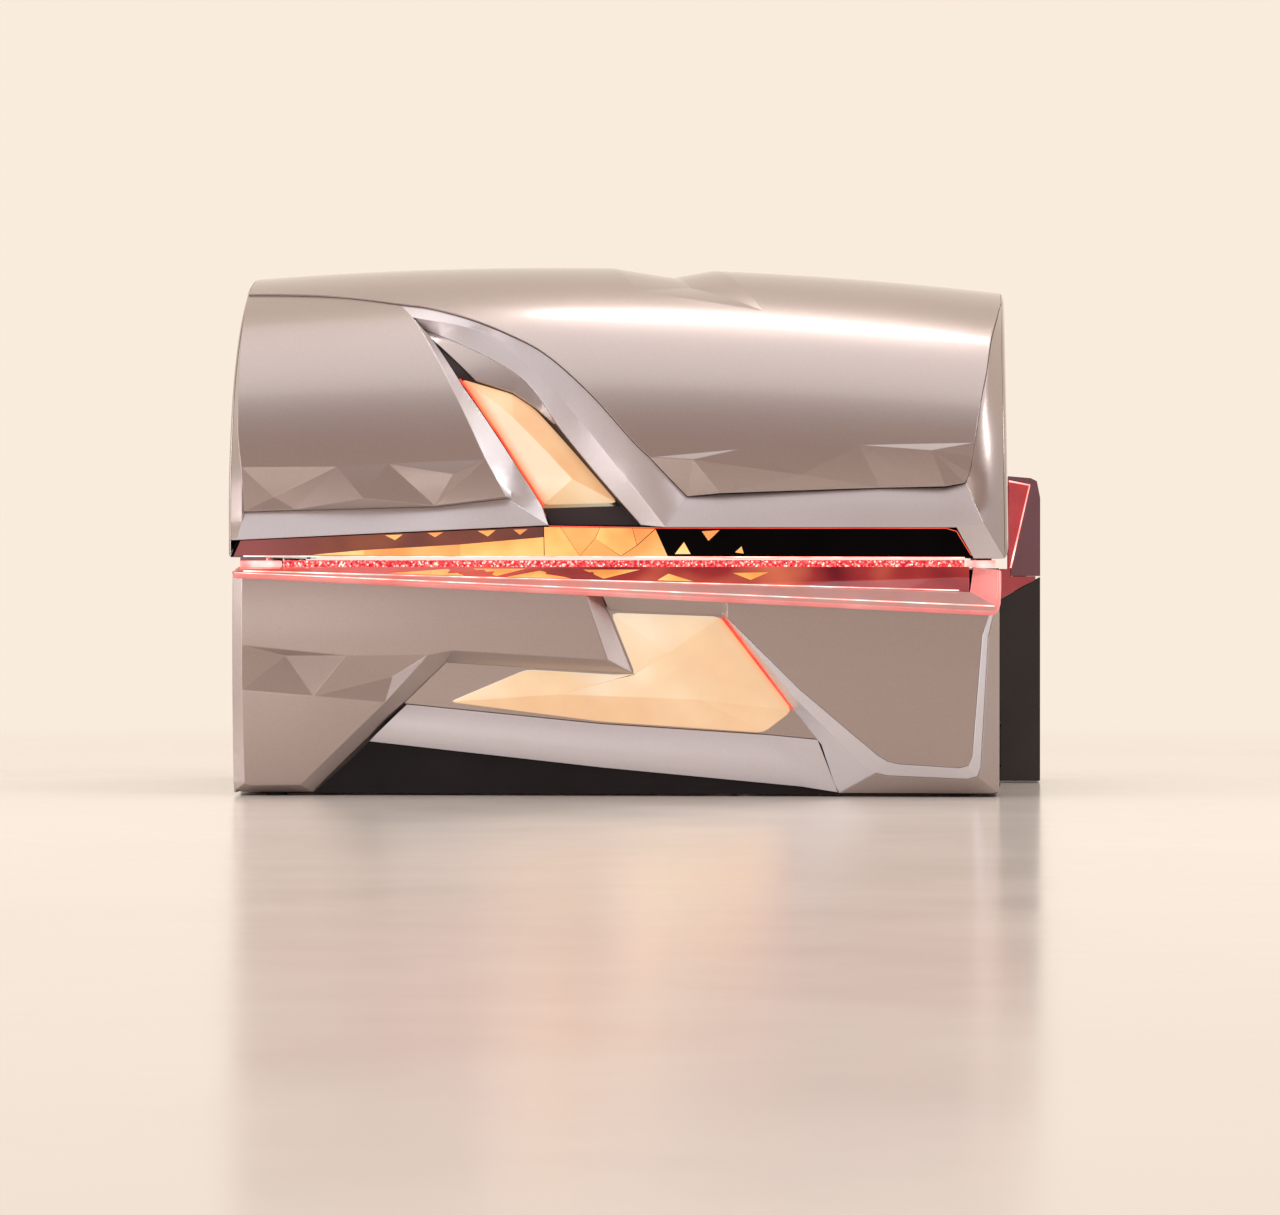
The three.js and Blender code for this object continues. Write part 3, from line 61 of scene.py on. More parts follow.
# Canopy arch and base front, as the shells follow them
archForm = {"halfDepth": 650, "springZ": 790, "crestX": -250, "crestZ": 1513, "crestFall": 4.5e-5,
            "pace": 700, "rearSkirt": 90, "left": -1078, "right": 1078, "flare": 0.012, "floorZ": 668}
frontForm = {"frontY": -651.48, "bellyZ": 450, "leanLow": 30, "leanHigh": 8, "half": 1072, "topZ": 637,
             "topLeftZ": 622, "topRightZ": 516, "floorGap": 6}
seamGap = 0.7
shellWall = 6


def archRise(x):
    return archForm["crestZ"] - archForm["crestFall"] * (x - archForm["crestX"]) ** 2 - archForm["springZ"]


def onArch(x, along, height):
    half, spring, pace = archForm["halfDepth"], archForm["springZ"], archForm["pace"]
    rearFoot = math.pi * pace
    if along < 0:
        return Vector((x, -half - height, spring + along))
    if along > rearFoot:
        return Vector((x, half + height, spring - (along - rearFoot)))
    angle = along / pace
    rise = archRise(x)
    normal = Vector((-math.cos(angle) / half, math.sin(angle) / rise)).normalized()
    return Vector((x, -half * math.cos(angle) + height * normal.x,
                   spring + rise * math.sin(angle) + height * normal.y))


def alongAt(x, z):
    spring = archForm["springZ"]
    if z < spring:
        return z - spring
    return archForm["pace"] * math.asin(min(1, (z - spring) / archRise(x)))


def seen(x, z, height=0.0):  # a point of the canopy as the front view shows it
    return (x, alongAt(x, z), height)


def frontPlane(z):
    if z < frontForm["bellyZ"]:
        return frontForm["frontY"] + frontForm["leanLow"] * ((z - frontForm["bellyZ"]) / frontForm["bellyZ"]) ** 2
    span = frontForm["topZ"] - frontForm["bellyZ"]
    return frontForm["frontY"] + frontForm["leanHigh"] * ((z - frontForm["bellyZ"]) / span) ** 2


def onFront(x, z, height):
    return Vector((x, frontPlane(z) - height, z))


def frontTop(x):
    share = (x + frontForm["half"]) / (2 * frontForm["half"])
    return frontForm["topLeftZ"] + (frontForm["topRightZ"] - frontForm["topLeftZ"]) * share


def raised(line, height):
    return [(p[0], p[1], height) for p in line]


def beside(line, gap):  # the same line moved to its right-hand side
    moved = []
    for i, point in enumerate(line):
        before, after = line[max(i - 1, 0)], line[min(i + 1, len(line) - 1)]
        run = Vector((after[0] - before[0], after[1] - before[1])).normalized() * gap
        moved.append((point[0] + run.y, point[1] - run.x))
    return moved


def smoothLine(points, perSpan=8):  # Catmull-Rom line through the points
    line = []
    last = len(points) - 1
    for i in range(last):
        p0, p1, p2, p3 = (points[max(0, min(last, k))] for k in (i - 1, i, i + 1, i + 2))
        for step in range(perSpan):
            t = step / perSpan
            line.append(tuple(
                0.5 * (2 * b + (c - a) * t + (2 * a - 5 * b + 4 * c - d) * t * t
                       + (3 * b - a - 3 * c + d) * t ** 3)
                for a, b, c, d in zip(p0[:2], p1[:2], p2[:2], p3[:2])))
    line.append(tuple(points[last][:2]))
    return line


def addObject(name, data):
    piece = bpy.data.objects.new(name, data)
    scene.collection.objects.link(piece)
    return piece


def bakedMesh(piece):  # the mesh with its modifiers worked in
    graph = bpy.context.evaluated_depsgraph_get()
    mesh = bpy.data.meshes.new_from_object(piece.evaluated_get(graph))
    old = piece.data
    name = piece.name
    bpy.data.objects.remove(piece)
    if old.users == 0 and isinstance(old, bpy.types.Mesh):
        bpy.data.meshes.remove(old)
    mesh.name = name
    return mesh


def shaded(mesh, sharpAngle=38):
    mesh.shade_smooth()
    mesh.set_sharp_from_angle(angle=math.radians(sharpAngle))
    return mesh


def weighted(name, mesh, sharpAngle=38):  # broad faces keep their own shading beside narrow edge radii
    piece = addObject(name, shaded(mesh, sharpAngle))
    fair = piece.modifiers.new("fair", "WEIGHTED_NORMAL")
    fair.keep_sharp = True
    fair.weight = 60
    return bakedMesh(piece)


def signedArea(points):
    return sum(a[0] * b[1] - b[0] * a[1] for a, b in zip(points, points[1:] + points[:1])) / 2


def flatShell(drawing, wall):  # drawn faces with their sunk copies and the rim walls between, lying flat
    bm = bmesh.new()
    bm.edges.layers.float.new("bevel_weight_edge")
    tops, feet = {}, {}

    def corner(store, point, drop):
        key = (round(point[0], 2), round(point[1], 2))
        if key not in store:
            store[key] = bm.verts.new((point[0], point[1], point[2] - drop))
        return store[key]

    for face in drawing:
        holes = face["holes"] if isinstance(face, dict) else []
        outline = list(face["outline"] if isinstance(face, dict) else face)
        loops = [outline]
        if holes:
            points = outline + [p for hole in holes for p in hole]
            triples = tessellate_polygon([[Vector(p) for p in loop] for loop in [outline, *holes]])
            loops = [[points[k] for k in triple] for triple in triples]
        for loop in loops:
            if signedArea(loop) < 0:
                loop = loop[::-1]
            bm.faces.new([corner(tops, p, 0) for p in loop])
            bm.faces.new([corner(feet, p, wall) for p in reversed(loop)])
    partner = {tops[key]: feet[key] for key in tops}
    bm.normal_update()
    level = [e for e in bm.edges if len(e.link_faces) == 2 and e.calc_face_angle() < 2e-3
             and all(abs(v.co.z - e.verts[0].co.z) < 1e-3 for f in e.link_faces for v in f.verts)]
    bmesh.ops.dissolve_edges(bm, edges=level, use_verts=False)
    rims = [e for e in bm.edges if e.is_boundary and e.verts[0] in partner]
    for edge in rims:
        loop = edge.link_loops[0]
        a, b = loop.vert, loop.link_loop_next.vert
        bm.faces.new([b, a, partner[a], partner[b]])
    return bm, set(partner), rims


def reliefShell(name, drawing, surface, look):
    bm, tops, rims = flatShell(drawing, look["wall"])
    bm.normal_update()
    radius = bm.edges.layers.float["bevel_weight_edge"]
    for edge in bm.edges:
        if edge.verts[0] in tops and edge.verts[1] in tops and len(edge.link_faces) == 2:
            if edge.calc_face_angle() > math.radians(look["creaseFrom"]):
                edge[radius] = look["crease"] / look["rim"]
    for edge in rims:
        edge[radius] = 1.0
    mesh = bpy.data.meshes.new(name)
    bm.to_mesh(mesh)
    bm.free()
    flat = addObject(name, mesh)
    bevel = flat.modifiers.new("edgeRadius", "BEVEL")
    bevel.limit_method = "WEIGHT"
    bevel.width = look["rim"]
    bevel.segments = 3
    bevel.use_clamp_overlap = False
    rounded = bakedMesh(flat)
    bm = bmesh.new()
    bm.from_mesh(rounded)
    bpy.data.meshes.remove(rounded)
    for axis, step in ((0, look["cell"][0]), (1, look["cell"][1])):
        low = min(v.co[axis] for v in bm.verts)
        high = max(v.co[axis] for v in bm.verts)
        normal = Vector((1, 0, 0)) if axis == 0 else Vector((0, 1, 0))
        for k in range(math.ceil(low / step), math.floor(high / step) + 1):
            geom = bm.verts[:] + bm.edges[:] + bm.faces[:]
            bmesh.ops.bisect_plane(bm, geom=geom, dist=0.02, plane_co=normal * (k * step), plane_no=normal)
    for vert in bm.verts:
        vert.co = surface(*vert.co) * mm
    bmesh.ops.remove_doubles(bm, verts=bm.verts[:], dist=2e-5)
    bm.normal_update()
    mesh = bpy.data.meshes.new(name)
    bm.to_mesh(mesh)
    bm.free()
    return addObject(name, weighted(name, mesh))


def softened(name, node, radius, segments=2, sharpAngle=34):  # a solid with its edges rounded
    bm = bmesh.new()
    bm.from_mesh(nodes[node].data)
    bmesh.ops.remove_doubles(bm, verts=bm.verts[:], dist=1e-5)
    bmesh.ops.dissolve_limit(bm, angle_limit=math.radians(0.6), verts=bm.verts[:], edges=bm.edges[:])
    mesh = bpy.data.meshes.new(name)
    bm.to_mesh(mesh)
    bm.free()
    return rounded(name, mesh, radius, segments, sharpAngle)


def rounded(name, mesh, radius, segments=2, sharpAngle=34):
    piece = addObject(name, mesh)
    bevel = piece.modifiers.new("edgeRadius", "BEVEL")
    bevel.limit_method = "ANGLE"
    bevel.angle_limit = math.radians(32)
    bevel.width = radius * mm
    bevel.segments = segments
    return addObject(name, weighted(name, bakedMesh(piece), sharpAngle))


def dress(piece, body, slot, material, *stoodFor):
    piece.data.materials.clear()
    piece.data.materials.append(material)
    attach(piece, body)
    if stoodFor:
        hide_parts(*stoodFor)
    return piece


# Finishes: colours are linear, pattern scales are per metre
finishes = {
    "champagneLacquer": {
        "sockets": {"Metallic": 0.86, "Coat Weight": 1.0, "Coat Roughness": 0.13, "Coat IOR": 1.5},
        "tone": {"scale": 900, "kind": "flake", "low": (0.37, 0.30, 0.275), "high": (0.45, 0.37, 0.345)},
        "rough": {"scale": 3.0, "low": 0.292, "high": 0.325},
        "grain": {"scale": 260, "strength": 0.02, "depth": 0.0004}},
    "silverLacquer": {
        "sockets": {"Metallic": 0.8, "Coat Weight": 0.5, "Coat Roughness": 0.13},
        "tone": {"scale": 900, "kind": "flake", "low": (0.55, 0.50, 0.505), "high": (0.66, 0.61, 0.615)},
        "rough": {"scale": 3.0, "low": 0.36, "high": 0.42},
        "grain": {"scale": 260, "strength": 0.02, "depth": 0.0004}},
    "frontSilver": {
        "sockets": {"Metallic": 0.7, "Coat Weight": 0.5, "Coat Roughness": 0.13},
        "tone": {"scale": 900, "kind": "flake", "low": (0.64, 0.62, 0.655), "high": (0.74, 0.72, 0.755)},
        "rough": {"scale": 3.0, "low": 0.36, "high": 0.42},
        "grain": {"scale": 260, "strength": 0.02, "depth": 0.0004}},
    "darkLacquer": {
        "sockets": {"Metallic": 0.5, "Coat Weight": 0.6, "Coat Roughness": 0.08},
        "tone": {"scale": 900, "kind": "flake", "low": (0.17, 0.068, 0.092), "high": (0.245, 0.108, 0.14)},
        "rough": {"scale": 4.0, "low": 0.30, "high": 0.40},
        "grain": {"scale": 260, "strength": 0.02, "depth": 0.0004}},
    # Near-black lacquer for the slash recess: painted shade standing for the shadow in the deep recess
    "recessLacquer": {
        "sockets": {"Metallic": 0.3, "Specular IOR Level": 0.3},
        "tone": {"scale": 900, "kind": "flake", "low": (0.032, 0.022, 0.022), "high": (0.055, 0.038, 0.038)},
        "rough": {"scale": 4.0, "low": 0.42, "high": 0.52},
        "grain": {"scale": 260, "strength": 0.02, "depth": 0.0004}},
    # Ledge acrylic: its own pink tone, plus a painted red-pink glow that is paler towards the right end
    "pinkAcrylic": {
        "sockets": {"Coat Weight": 0.3, "Coat Roughness": 0.05, "Emission Strength": 0.42},
        "tone": {"scale": 6, "kind": "cloud", "low": (0.33, 0.16, 0.15), "high": (0.44, 0.25, 0.23)},
        "rough": {"scale": 9, "low": 0.16, "high": 0.26},
        "glow": {"scale": 2.6, "low": (0.75, 0.07, 0.06), "mid": (0.90, 0.16, 0.13), "high": (1.0, 0.34, 0.27),
                 "edge": {"along": (1, 0, 0), "start": -0.45, "end": 0.65, "colour": (0.52, 0.29, 0.25)}},
        "grain": {"scale": 400, "strength": 0.02, "depth": 0.0003}},
    # Ledge corner and rim tube: acrylic with a painted red glow
    "rimAcrylic": {
        "sockets": {"Coat Weight": 0.8, "Coat Roughness": 0.04, "Transmission Weight": 0.35, "Emission Strength": 0.42},
        "tone": {"scale": 12, "kind": "cloud", "low": (0.55, 0.16, 0.15), "high": (0.68, 0.28, 0.26)},
        "rough": {"scale": 20, "low": 0.08, "high": 0.16},
        "glow": {"scale": 5, "low": (1.0, 0.16, 0.15), "mid": (1.0, 0.27, 0.24), "high": (1.0, 0.46, 0.40)}},
    "blackGlass": {
        "sockets": {"Specular IOR Level": 0.015},
        "tone": {"scale": 5, "kind": "cloud", "low": (0.002, 0.0015, 0.002), "high": (0.004, 0.003, 0.0035)},
        "rough": {"scale": 12, "low": 0.05, "high": 0.09}},
    # Base fascia glass: dark glass with a painted red glow, strongest at its left end
    "redGlass": {
        "sockets": {"Coat Weight": 0.6, "Coat Roughness": 0.03, "Emission Strength": 1.0},
        "tone": {"scale": 5, "kind": "cloud", "low": (0.05, 0.004, 0.010), "high": (0.12, 0.010, 0.02)},
        "rough": {"scale": 12, "low": 0.05, "high": 0.10},
        "glow": {"scale": 3.5, "low": (0.05, 0.002, 0.008), "mid": (0.34, 0.035, 0.03), "high": (0.72, 0.18, 0.09),
                 "edge": {"along": (-1, 0, 0), "start": -0.25, "end": 0.75, "colour": (0.80, 0.14, 0.10)}}},
    # Thin layer on the canopy's black glass: a painted dim red glow, stronger at its left end
    "washedGlass": {
        "sockets": {"Coat Weight": 0.4, "Coat Roughness": 0.03, "Emission Strength": 1.0},
        "tone": {"scale": 5, "kind": "cloud", "low": (0.03, 0.006, 0.006), "high": (0.06, 0.012, 0.01)},
        "rough": {"scale": 12, "low": 0.05, "high": 0.10},
        "glow": {"scale": 4.0, "low": (0.06, 0.008, 0.006), "mid": (0.14, 0.025, 0.012), "high": (0.26, 0.06, 0.02),
                 "edge": {"along": (-1, 0, 0), "start": 0.74, "end": 1.02, "colour": (0.26, 0.05, 0.05)}}},
    # Amber light panels: besides their own glow, facets facing one way glow brighter, a painted highlight
    "amberBolt": {
        "sockets": {"Coat Weight": 0.4, "Coat Roughness": 0.06, "Emission Strength": 0.80},
        "tone": {"scale": 8, "kind": "cloud", "low": (0.34, 0.18, 0.08), "high": (0.42, 0.27, 0.14)},
        "rough": {"scale": 20, "low": 0.14, "high": 0.22},
        "glow": {"scale": 3.4, "low": (0.71, 0.45, 0.26), "mid": (0.76, 0.56, 0.35), "high": (0.82, 0.74, 0.58),
                 "facet": (-0.5, 0, 0.9), "gain": 1.25, "stops": (0.24, 0.52, 0.80),
                 "edge": {"along": (0.79, 0, 0.61), "start": 0.515, "end": 0.56, "colour": (0.95, 0.30, 0.10)}}},
    "amberSlash": {
        "sockets": {"Coat Weight": 0.4, "Coat Roughness": 0.06, "Emission Strength": 0.80},
        "tone": {"scale": 8, "kind": "cloud", "low": (0.34, 0.17, 0.07), "high": (0.42, 0.27, 0.14)},
        "rough": {"scale": 20, "low": 0.14, "high": 0.22},
        "glow": {"scale": 4.0, "low": (0.70, 0.39, 0.19), "mid": (0.76, 0.56, 0.33), "high": (0.82, 0.74, 0.57),
                 "facet": (-1.0, 0, 0), "gain": 1.6, "stops": (0.24, 0.5, 0.74),
                 "edge": {"along": (-0.84, 0, -0.54), "start": -0.30, "end": -0.262, "colour": (0.92, 0.22, 0.06)}}},
    "amberInlay": {
        "sockets": {"Coat Weight": 0.6, "Coat Roughness": 0.04, "Emission Strength": 0.85},
        "tone": {"scale": 10, "kind": "cloud", "low": (0.50, 0.20, 0.04), "high": (0.60, 0.34, 0.10)},
        "rough": {"scale": 20, "low": 0.10, "high": 0.18},
        "glow": {"scale": 5.0, "low": (0.80, 0.22, 0.05), "mid": (0.92, 0.42, 0.11), "high": (1.0, 0.66, 0.28)}},
    "amberDeep": {
        "sockets": {"Coat Weight": 0.6, "Coat Roughness": 0.04, "Emission Strength": 0.80},
        "tone": {"scale": 10, "kind": "cloud", "low": (0.48, 0.17, 0.03), "high": (0.58, 0.28, 0.08)},
        "rough": {"scale": 20, "low": 0.10, "high": 0.18},
        "glow": {"scale": 5.0, "low": (0.74, 0.20, 0.05), "mid": (0.86, 0.32, 0.08), "high": (0.96, 0.50, 0.18)}},
    # Sparkle: painted glints on the crystal stones
    "sparkle": {
        "sockets": {"Coat Weight": 1.0, "Coat Roughness": 0.03, "Emission Strength": 1.5},
        "tone": {"scale": 60, "kind": "cloud", "low": (0.80, 0.40, 0.40), "high": (0.90, 0.70, 0.66)},
        "rough": {"scale": 60, "low": 0.05, "high": 0.15},
        "glow": {"scale": 40, "low": (1.0, 0.34, 0.30), "mid": (1.0, 0.58, 0.46), "high": (1.0, 0.86, 0.72)}},
    "redCrystal": {
        "sockets": {"Coat Weight": 1.0, "Coat Roughness": 0.03, "Emission Strength": 1.0},
        "tone": {"scale": 60, "kind": "cloud", "low": (0.35, 0.01, 0.03), "high": (0.75, 0.06, 0.09)},
        "rough": {"scale": 60, "low": 0.05, "high": 0.15},
        "glow": {"scale": 120, "low": (0.30, 0.005, 0.02), "mid": (0.85, 0.05, 0.06), "high": (1.0, 0.56, 0.46),
                 "stops": (0.34, 0.52, 0.70)}},
    "redLens": {
        "sockets": {"Coat Weight": 0.9, "Coat Roughness": 0.04, "Emission Strength": 0.22},
        "tone": {"scale": 14, "kind": "cloud", "low": (0.40, 0.015, 0.03), "high": (0.60, 0.04, 0.06)},
        "rough": {"scale": 20, "low": 0.12, "high": 0.22},
        "glow": {"scale": 3.0, "low": (0.34, 0.008, 0.016), "mid": (0.55, 0.02, 0.03), "high": (0.85, 0.07, 0.06),
                 "edge": {"along": (0, 0, -1), "start": -0.74, "end": -0.575, "colour": (0.10, 0.004, 0.006)}}},
    "endGlow": {
        "sockets": {"Coat Weight": 0.5, "Coat Roughness": 0.04, "Emission Strength": 1.1},
        "tone": {"scale": 20, "kind": "cloud", "low": (0.7, 0.25, 0.25), "high": (0.8, 0.40, 0.38)},
        "rough": {"scale": 30, "low": 0.12, "high": 0.2},
        "glow": {"scale": 16, "low": (0.90, 0.12, 0.12), "mid": (1.0, 0.34, 0.30), "high": (1.0, 0.74, 0.68)}},
    "ledLine": {
        "sockets": {"Coat Weight": 0.3, "Emission Strength": 2.2},
        "tone": {"scale": 30, "kind": "cloud", "low": (0.8, 0.2, 0.2), "high": (0.9, 0.4, 0.35)},
        "rough": {"scale": 30, "low": 0.2, "high": 0.3},
        "glow": {"scale": 14, "low": (1.0, 0.15, 0.13), "mid": (1.0, 0.34, 0.30), "high": (1.0, 0.72, 0.64)}},
    "redEdge": {
        "sockets": {"Coat Weight": 0.3, "Emission Strength": 1.0},
        "tone": {"scale": 30, "kind": "cloud", "low": (0.7, 0.04, 0.03), "high": (0.8, 0.08, 0.05)},
        "rough": {"scale": 30, "low": 0.2, "high": 0.3},
        "glow": {"scale": 8, "low": (0.85, 0.03, 0.015), "mid": (0.95, 0.06, 0.02), "high": (1.0, 0.16, 0.05)}},
    "blackCover": {
        "sockets": {"Specular IOR Level": 0.16},
        "tone": {"scale": 5, "kind": "cloud", "low": (0.006, 0.005, 0.005), "high": (0.013, 0.010, 0.011)},
        "rough": {"scale": 14, "low": 0.30, "high": 0.42},
        "grain": {"scale": 700, "strength": 0.12, "depth": 0.0004}},
    "columnBlack": {
        "sockets": {"Specular IOR Level": 0.45, "Coat Weight": 0.2, "Coat Roughness": 0.12},
        "tone": {"scale": 5, "kind": "cloud", "low": (0.012, 0.009, 0.009), "high": (0.024, 0.017, 0.017)},
        "rough": {"scale": 14, "low": 0.30, "high": 0.42},
        "grain": {"scale": 700, "strength": 0.12, "depth": 0.0004}},
    "clearAcrylic": {
        "sockets": {"Transmission Weight": 1.0, "IOR": 1.49, "Base Color": (0.94, 0.97, 0.98, 1)},
        "rough": {"scale": 30, "low": 0.01, "high": 0.04}},
    "reflectorSheet": {
        "sockets": {"Metallic": 1.0},
        "tone": {"scale": 40, "kind": "brushed", "low": (0.66, 0.67, 0.69), "high": (0.80, 0.81, 0.82)},
        "rough": {"scale": 60, "low": 0.12, "high": 0.24}},
    "lampGlass": {
        "sockets": {"Coat Weight": 0.8, "Coat Roughness": 0.03, "Emission Strength": 0.25,
                    "Emission Color": (0.75, 0.80, 1.0, 1)},
        "tone": {"scale": 25, "kind": "cloud", "low": (0.74, 0.75, 0.80), "high": (0.84, 0.84, 0.88)},
        "rough": {"scale": 40, "low": 0.18, "high": 0.26}},
    "lampCap": {
        "sockets": {"Metallic": 1.0},
        "tone": {"scale": 120, "kind": "brushed", "low": (0.48, 0.48, 0.50), "high": (0.64, 0.64, 0.66)},
        "rough": {"scale": 80, "low": 0.22, "high": 0.36}},
    "powderSteel": {
        "sockets": {"Metallic": 0.0},
        "tone": {"scale": 30, "kind": "cloud", "low": (0.15, 0.16, 0.175), "high": (0.20, 0.21, 0.225)},
        "rough": {"scale": 40, "low": 0.42, "high": 0.55},
        "grain": {"scale": 900, "strength": 0.25, "depth": 0.0005}},
    "groundSteel": {
        "sockets": {"Metallic": 1.0},
        "tone": {"scale": 200, "kind": "brushed", "low": (0.46, 0.47, 0.48), "high": (0.60, 0.61, 0.62)},
        "rough": {"scale": 150, "low": 0.18, "high": 0.30}},
    "springBlack": {
        "sockets": {"Coat Weight": 0.3},
        "tone": {"scale": 40, "kind": "cloud", "low": (0.012, 0.012, 0.013), "high": (0.022, 0.022, 0.024)},
        "rough": {"scale": 60, "low": 0.25, "high": 0.38}},
    "gearCase": {
        "sockets": {"Metallic": 0.2},
        "tone": {"scale": 30, "kind": "cloud", "low": (0.03, 0.03, 0.033), "high": (0.05, 0.05, 0.055)},
        "rough": {"scale": 60, "low": 0.40, "high": 0.55},
        "grain": {"scale": 800, "strength": 0.2, "depth": 0.0005}},
    "rubber": {
        "sockets": {"Specular IOR Level": 0.3},
        "tone": {"scale": 60, "kind": "cloud", "low": (0.014, 0.014, 0.014), "high": (0.026, 0.026, 0.026)},
        "rough": {"scale": 80, "low": 0.65, "high": 0.82},
        "grain": {"scale": 900, "strength": 0.3, "depth": 0.0006}},
    "displayGlass": {
        "sockets": {"Coat Weight": 1.0, "Coat Roughness": 0.02},
        "tone": {"scale": 20, "kind": "cloud", "low": (0.004, 0.006, 0.010), "high": (0.010, 0.014, 0.022)},
        "rough": {"scale": 30, "low": 0.06, "high": 0.12}},
    "fanPlastic": {
        "sockets": {"Specular IOR Level": 0.4},
        "tone": {"scale": 40, "kind": "cloud", "low": (0.018, 0.018, 0.020), "high": (0.032, 0.032, 0.034)},
        "rough": {"scale": 60, "low": 0.45, "high": 0.6},
        "grain": {"scale": 900, "strength": 0.2, "depth": 0.0005}},
}


def softCorners(drawing, rim, radius, kept=()):  # each corner of the rim becomes a short arc, but for those kept
    corners = {}
    for i, corner in enumerate(rim):
        if corner in kept:
            continue
        arms = []
        for other in (rim[i - 1], rim[(i + 1) % len(rim)]):
            reach = min(0.4, radius / math.hypot(other[0] - corner[0], other[1] - corner[1]))
            arms.append((other, tuple(a + (b - a) * reach for a, b in zip(corner, other))))
        middle = tuple(0.5 * c + 0.25 * (a + b) for c, a, b in zip(corner, arms[0][1], arms[1][1]))
        corners[corner] = (dict(arms), middle)
    soft = []
    for face in drawing:
        line = []
        for i, point in enumerate(face):
            if point not in corners:
                line.append(point)
                continue
            arms, middle = corners[point]
            before, after = face[i - 1], face[(i + 1) % len(face)]
            line += [arms[before]] if before in arms else []
            line.append(middle)
            line += [arms[after]] if after in arms else []
        soft.append(line)
    return soft


def rgba(colour):
    return (*colour, 1.0)


def noiseOn(tree, coords, scale, detail=3.0, stretch=None):
    noise = tree.nodes.new("ShaderNodeTexNoise")
    noise.inputs["Scale"].default_value = scale
    noise.inputs["Detail"].default_value = detail
    source = coords.outputs["Object"]
    if stretch:
        mapping = tree.nodes.new("ShaderNodeMapping")
        mapping.inputs["Scale"].default_value = stretch
        tree.links.new(source, mapping.inputs["Vector"])
        source = mapping.outputs["Vector"]
    tree.links.new(source, noise.inputs["Vector"])
    return noise


def rampOf(tree, source, stops):
    ramp = tree.nodes.new("ShaderNodeValToRGB")
    elements = ramp.color_ramp.elements
    while len(elements) < len(stops):
        elements.new(0.5)
    for element, (place, colour) in zip(elements, stops):
        element.position = place
        element.color = rgba(colour)
    tree.links.new(source, ramp.inputs["Fac"])
    return ramp


def dotWith(tree, source, direction):
    dot = tree.nodes.new("ShaderNodeVectorMath")
    dot.operation = "DOT_PRODUCT"
    dot.inputs[1].default_value = direction
    tree.links.new(source, dot.inputs[0])
    return dot.outputs["Value"]


def makeFinish(name, look):
    material = bpy.data.materials.new(name)
    material.use_nodes = True
    tree = material.node_tree
    shader = tree.nodes["Principled BSDF"]
    coords = tree.nodes.new("ShaderNodeTexCoord")
    for socket, value in look["sockets"].items():
        shader.inputs[socket].default_value = value
    tone = look.get("tone")
    if tone:
        if tone["kind"] == "flake":
            source = tree.nodes.new("ShaderNodeTexVoronoi")
            source.inputs["Scale"].default_value = tone["scale"]
            tree.links.new(coords.outputs["Object"], source.inputs["Vector"])
            output = source.outputs["Distance"]
        else:
            stretch = (0.04, 1, 1) if tone["kind"] == "brushed" else None
            output = noiseOn(tree, coords, tone["scale"], 4.0, stretch).outputs["Fac"]
        ramp = rampOf(tree, output, [(0.25, tone["low"]), (0.75, tone["high"])])
        tree.links.new(ramp.outputs["Color"], shader.inputs["Base Color"])
    rough = look.get("rough")
    if rough:
        noise = noiseOn(tree, coords, rough["scale"])
        spread = tree.nodes.new("ShaderNodeMapRange")
        spread.clamp = False
        spread.inputs["From Min"].default_value = 0.25
        spread.inputs["From Max"].default_value = 0.75
        spread.inputs["To Min"].default_value = rough["low"]
        spread.inputs["To Max"].default_value = rough["high"]
        tree.links.new(noise.outputs["Fac"], spread.inputs["Value"])
        tree.links.new(spread.outputs["Result"], shader.inputs["Roughness"])
    grain = look.get("grain")
    if grain:
        noise = noiseOn(tree, coords, grain["scale"], 2.0)
        bump = tree.nodes.new("ShaderNodeBump")
        bump.inputs["Strength"].default_value = grain["strength"]
        bump.inputs["Distance"].default_value = grain["depth"]
        tree.links.new(noise.outputs["Fac"], bump.inputs["Height"])
        tree.links.new(bump.outputs["Normal"], shader.inputs["Normal"])
    glow = look.get("glow")
    if glow:
        source = noiseOn(tree, coords, glow["scale"], 2.0).outputs["Fac"]
        # Painted highlight: the glow is raised on facets that face the given direction
        if "facet" in glow:
            paintedShineFacing = dotWith(tree, coords.outputs["Normal"], glow["facet"])
            lean = tree.nodes.new("ShaderNodeMath")
            lean.operation = "MULTIPLY_ADD"
            lean.inputs[1].default_value = glow["gain"]
            tree.links.new(paintedShineFacing, lean.inputs[0])
            tree.links.new(source, lean.inputs[2])
            source = lean.outputs[0]
        at = glow.get("stops", (0.32, 0.5, 0.68))
        colour = rampOf(tree, source, list(zip(at, (glow["low"], glow["mid"], glow["high"])))).outputs["Color"]
        edge = glow.get("edge")
        if edge:
            reach = tree.nodes.new("ShaderNodeMapRange")
            reach.interpolation_type = "SMOOTHSTEP"
            reach.inputs["From Min"].default_value = edge["start"]
            reach.inputs["From Max"].default_value = edge["end"]
            tree.links.new(dotWith(tree, coords.outputs["Object"], edge["along"]), reach.inputs["Value"])
            tint = tree.nodes.new("ShaderNodeMix")
            tint.data_type = "RGBA"
            tint.inputs[7].default_value = rgba(edge["colour"])
            tree.links.new(reach.outputs["Result"], tint.inputs[0])
            tree.links.new(colour, tint.inputs[6])
            colour = tint.outputs[2]
        tree.links.new(colour, shader.inputs["Emission Color"])
    return material


finish = {name: makeFinish(name, look) for name, look in finishes.items()}
print("finishes made:", len(finish))

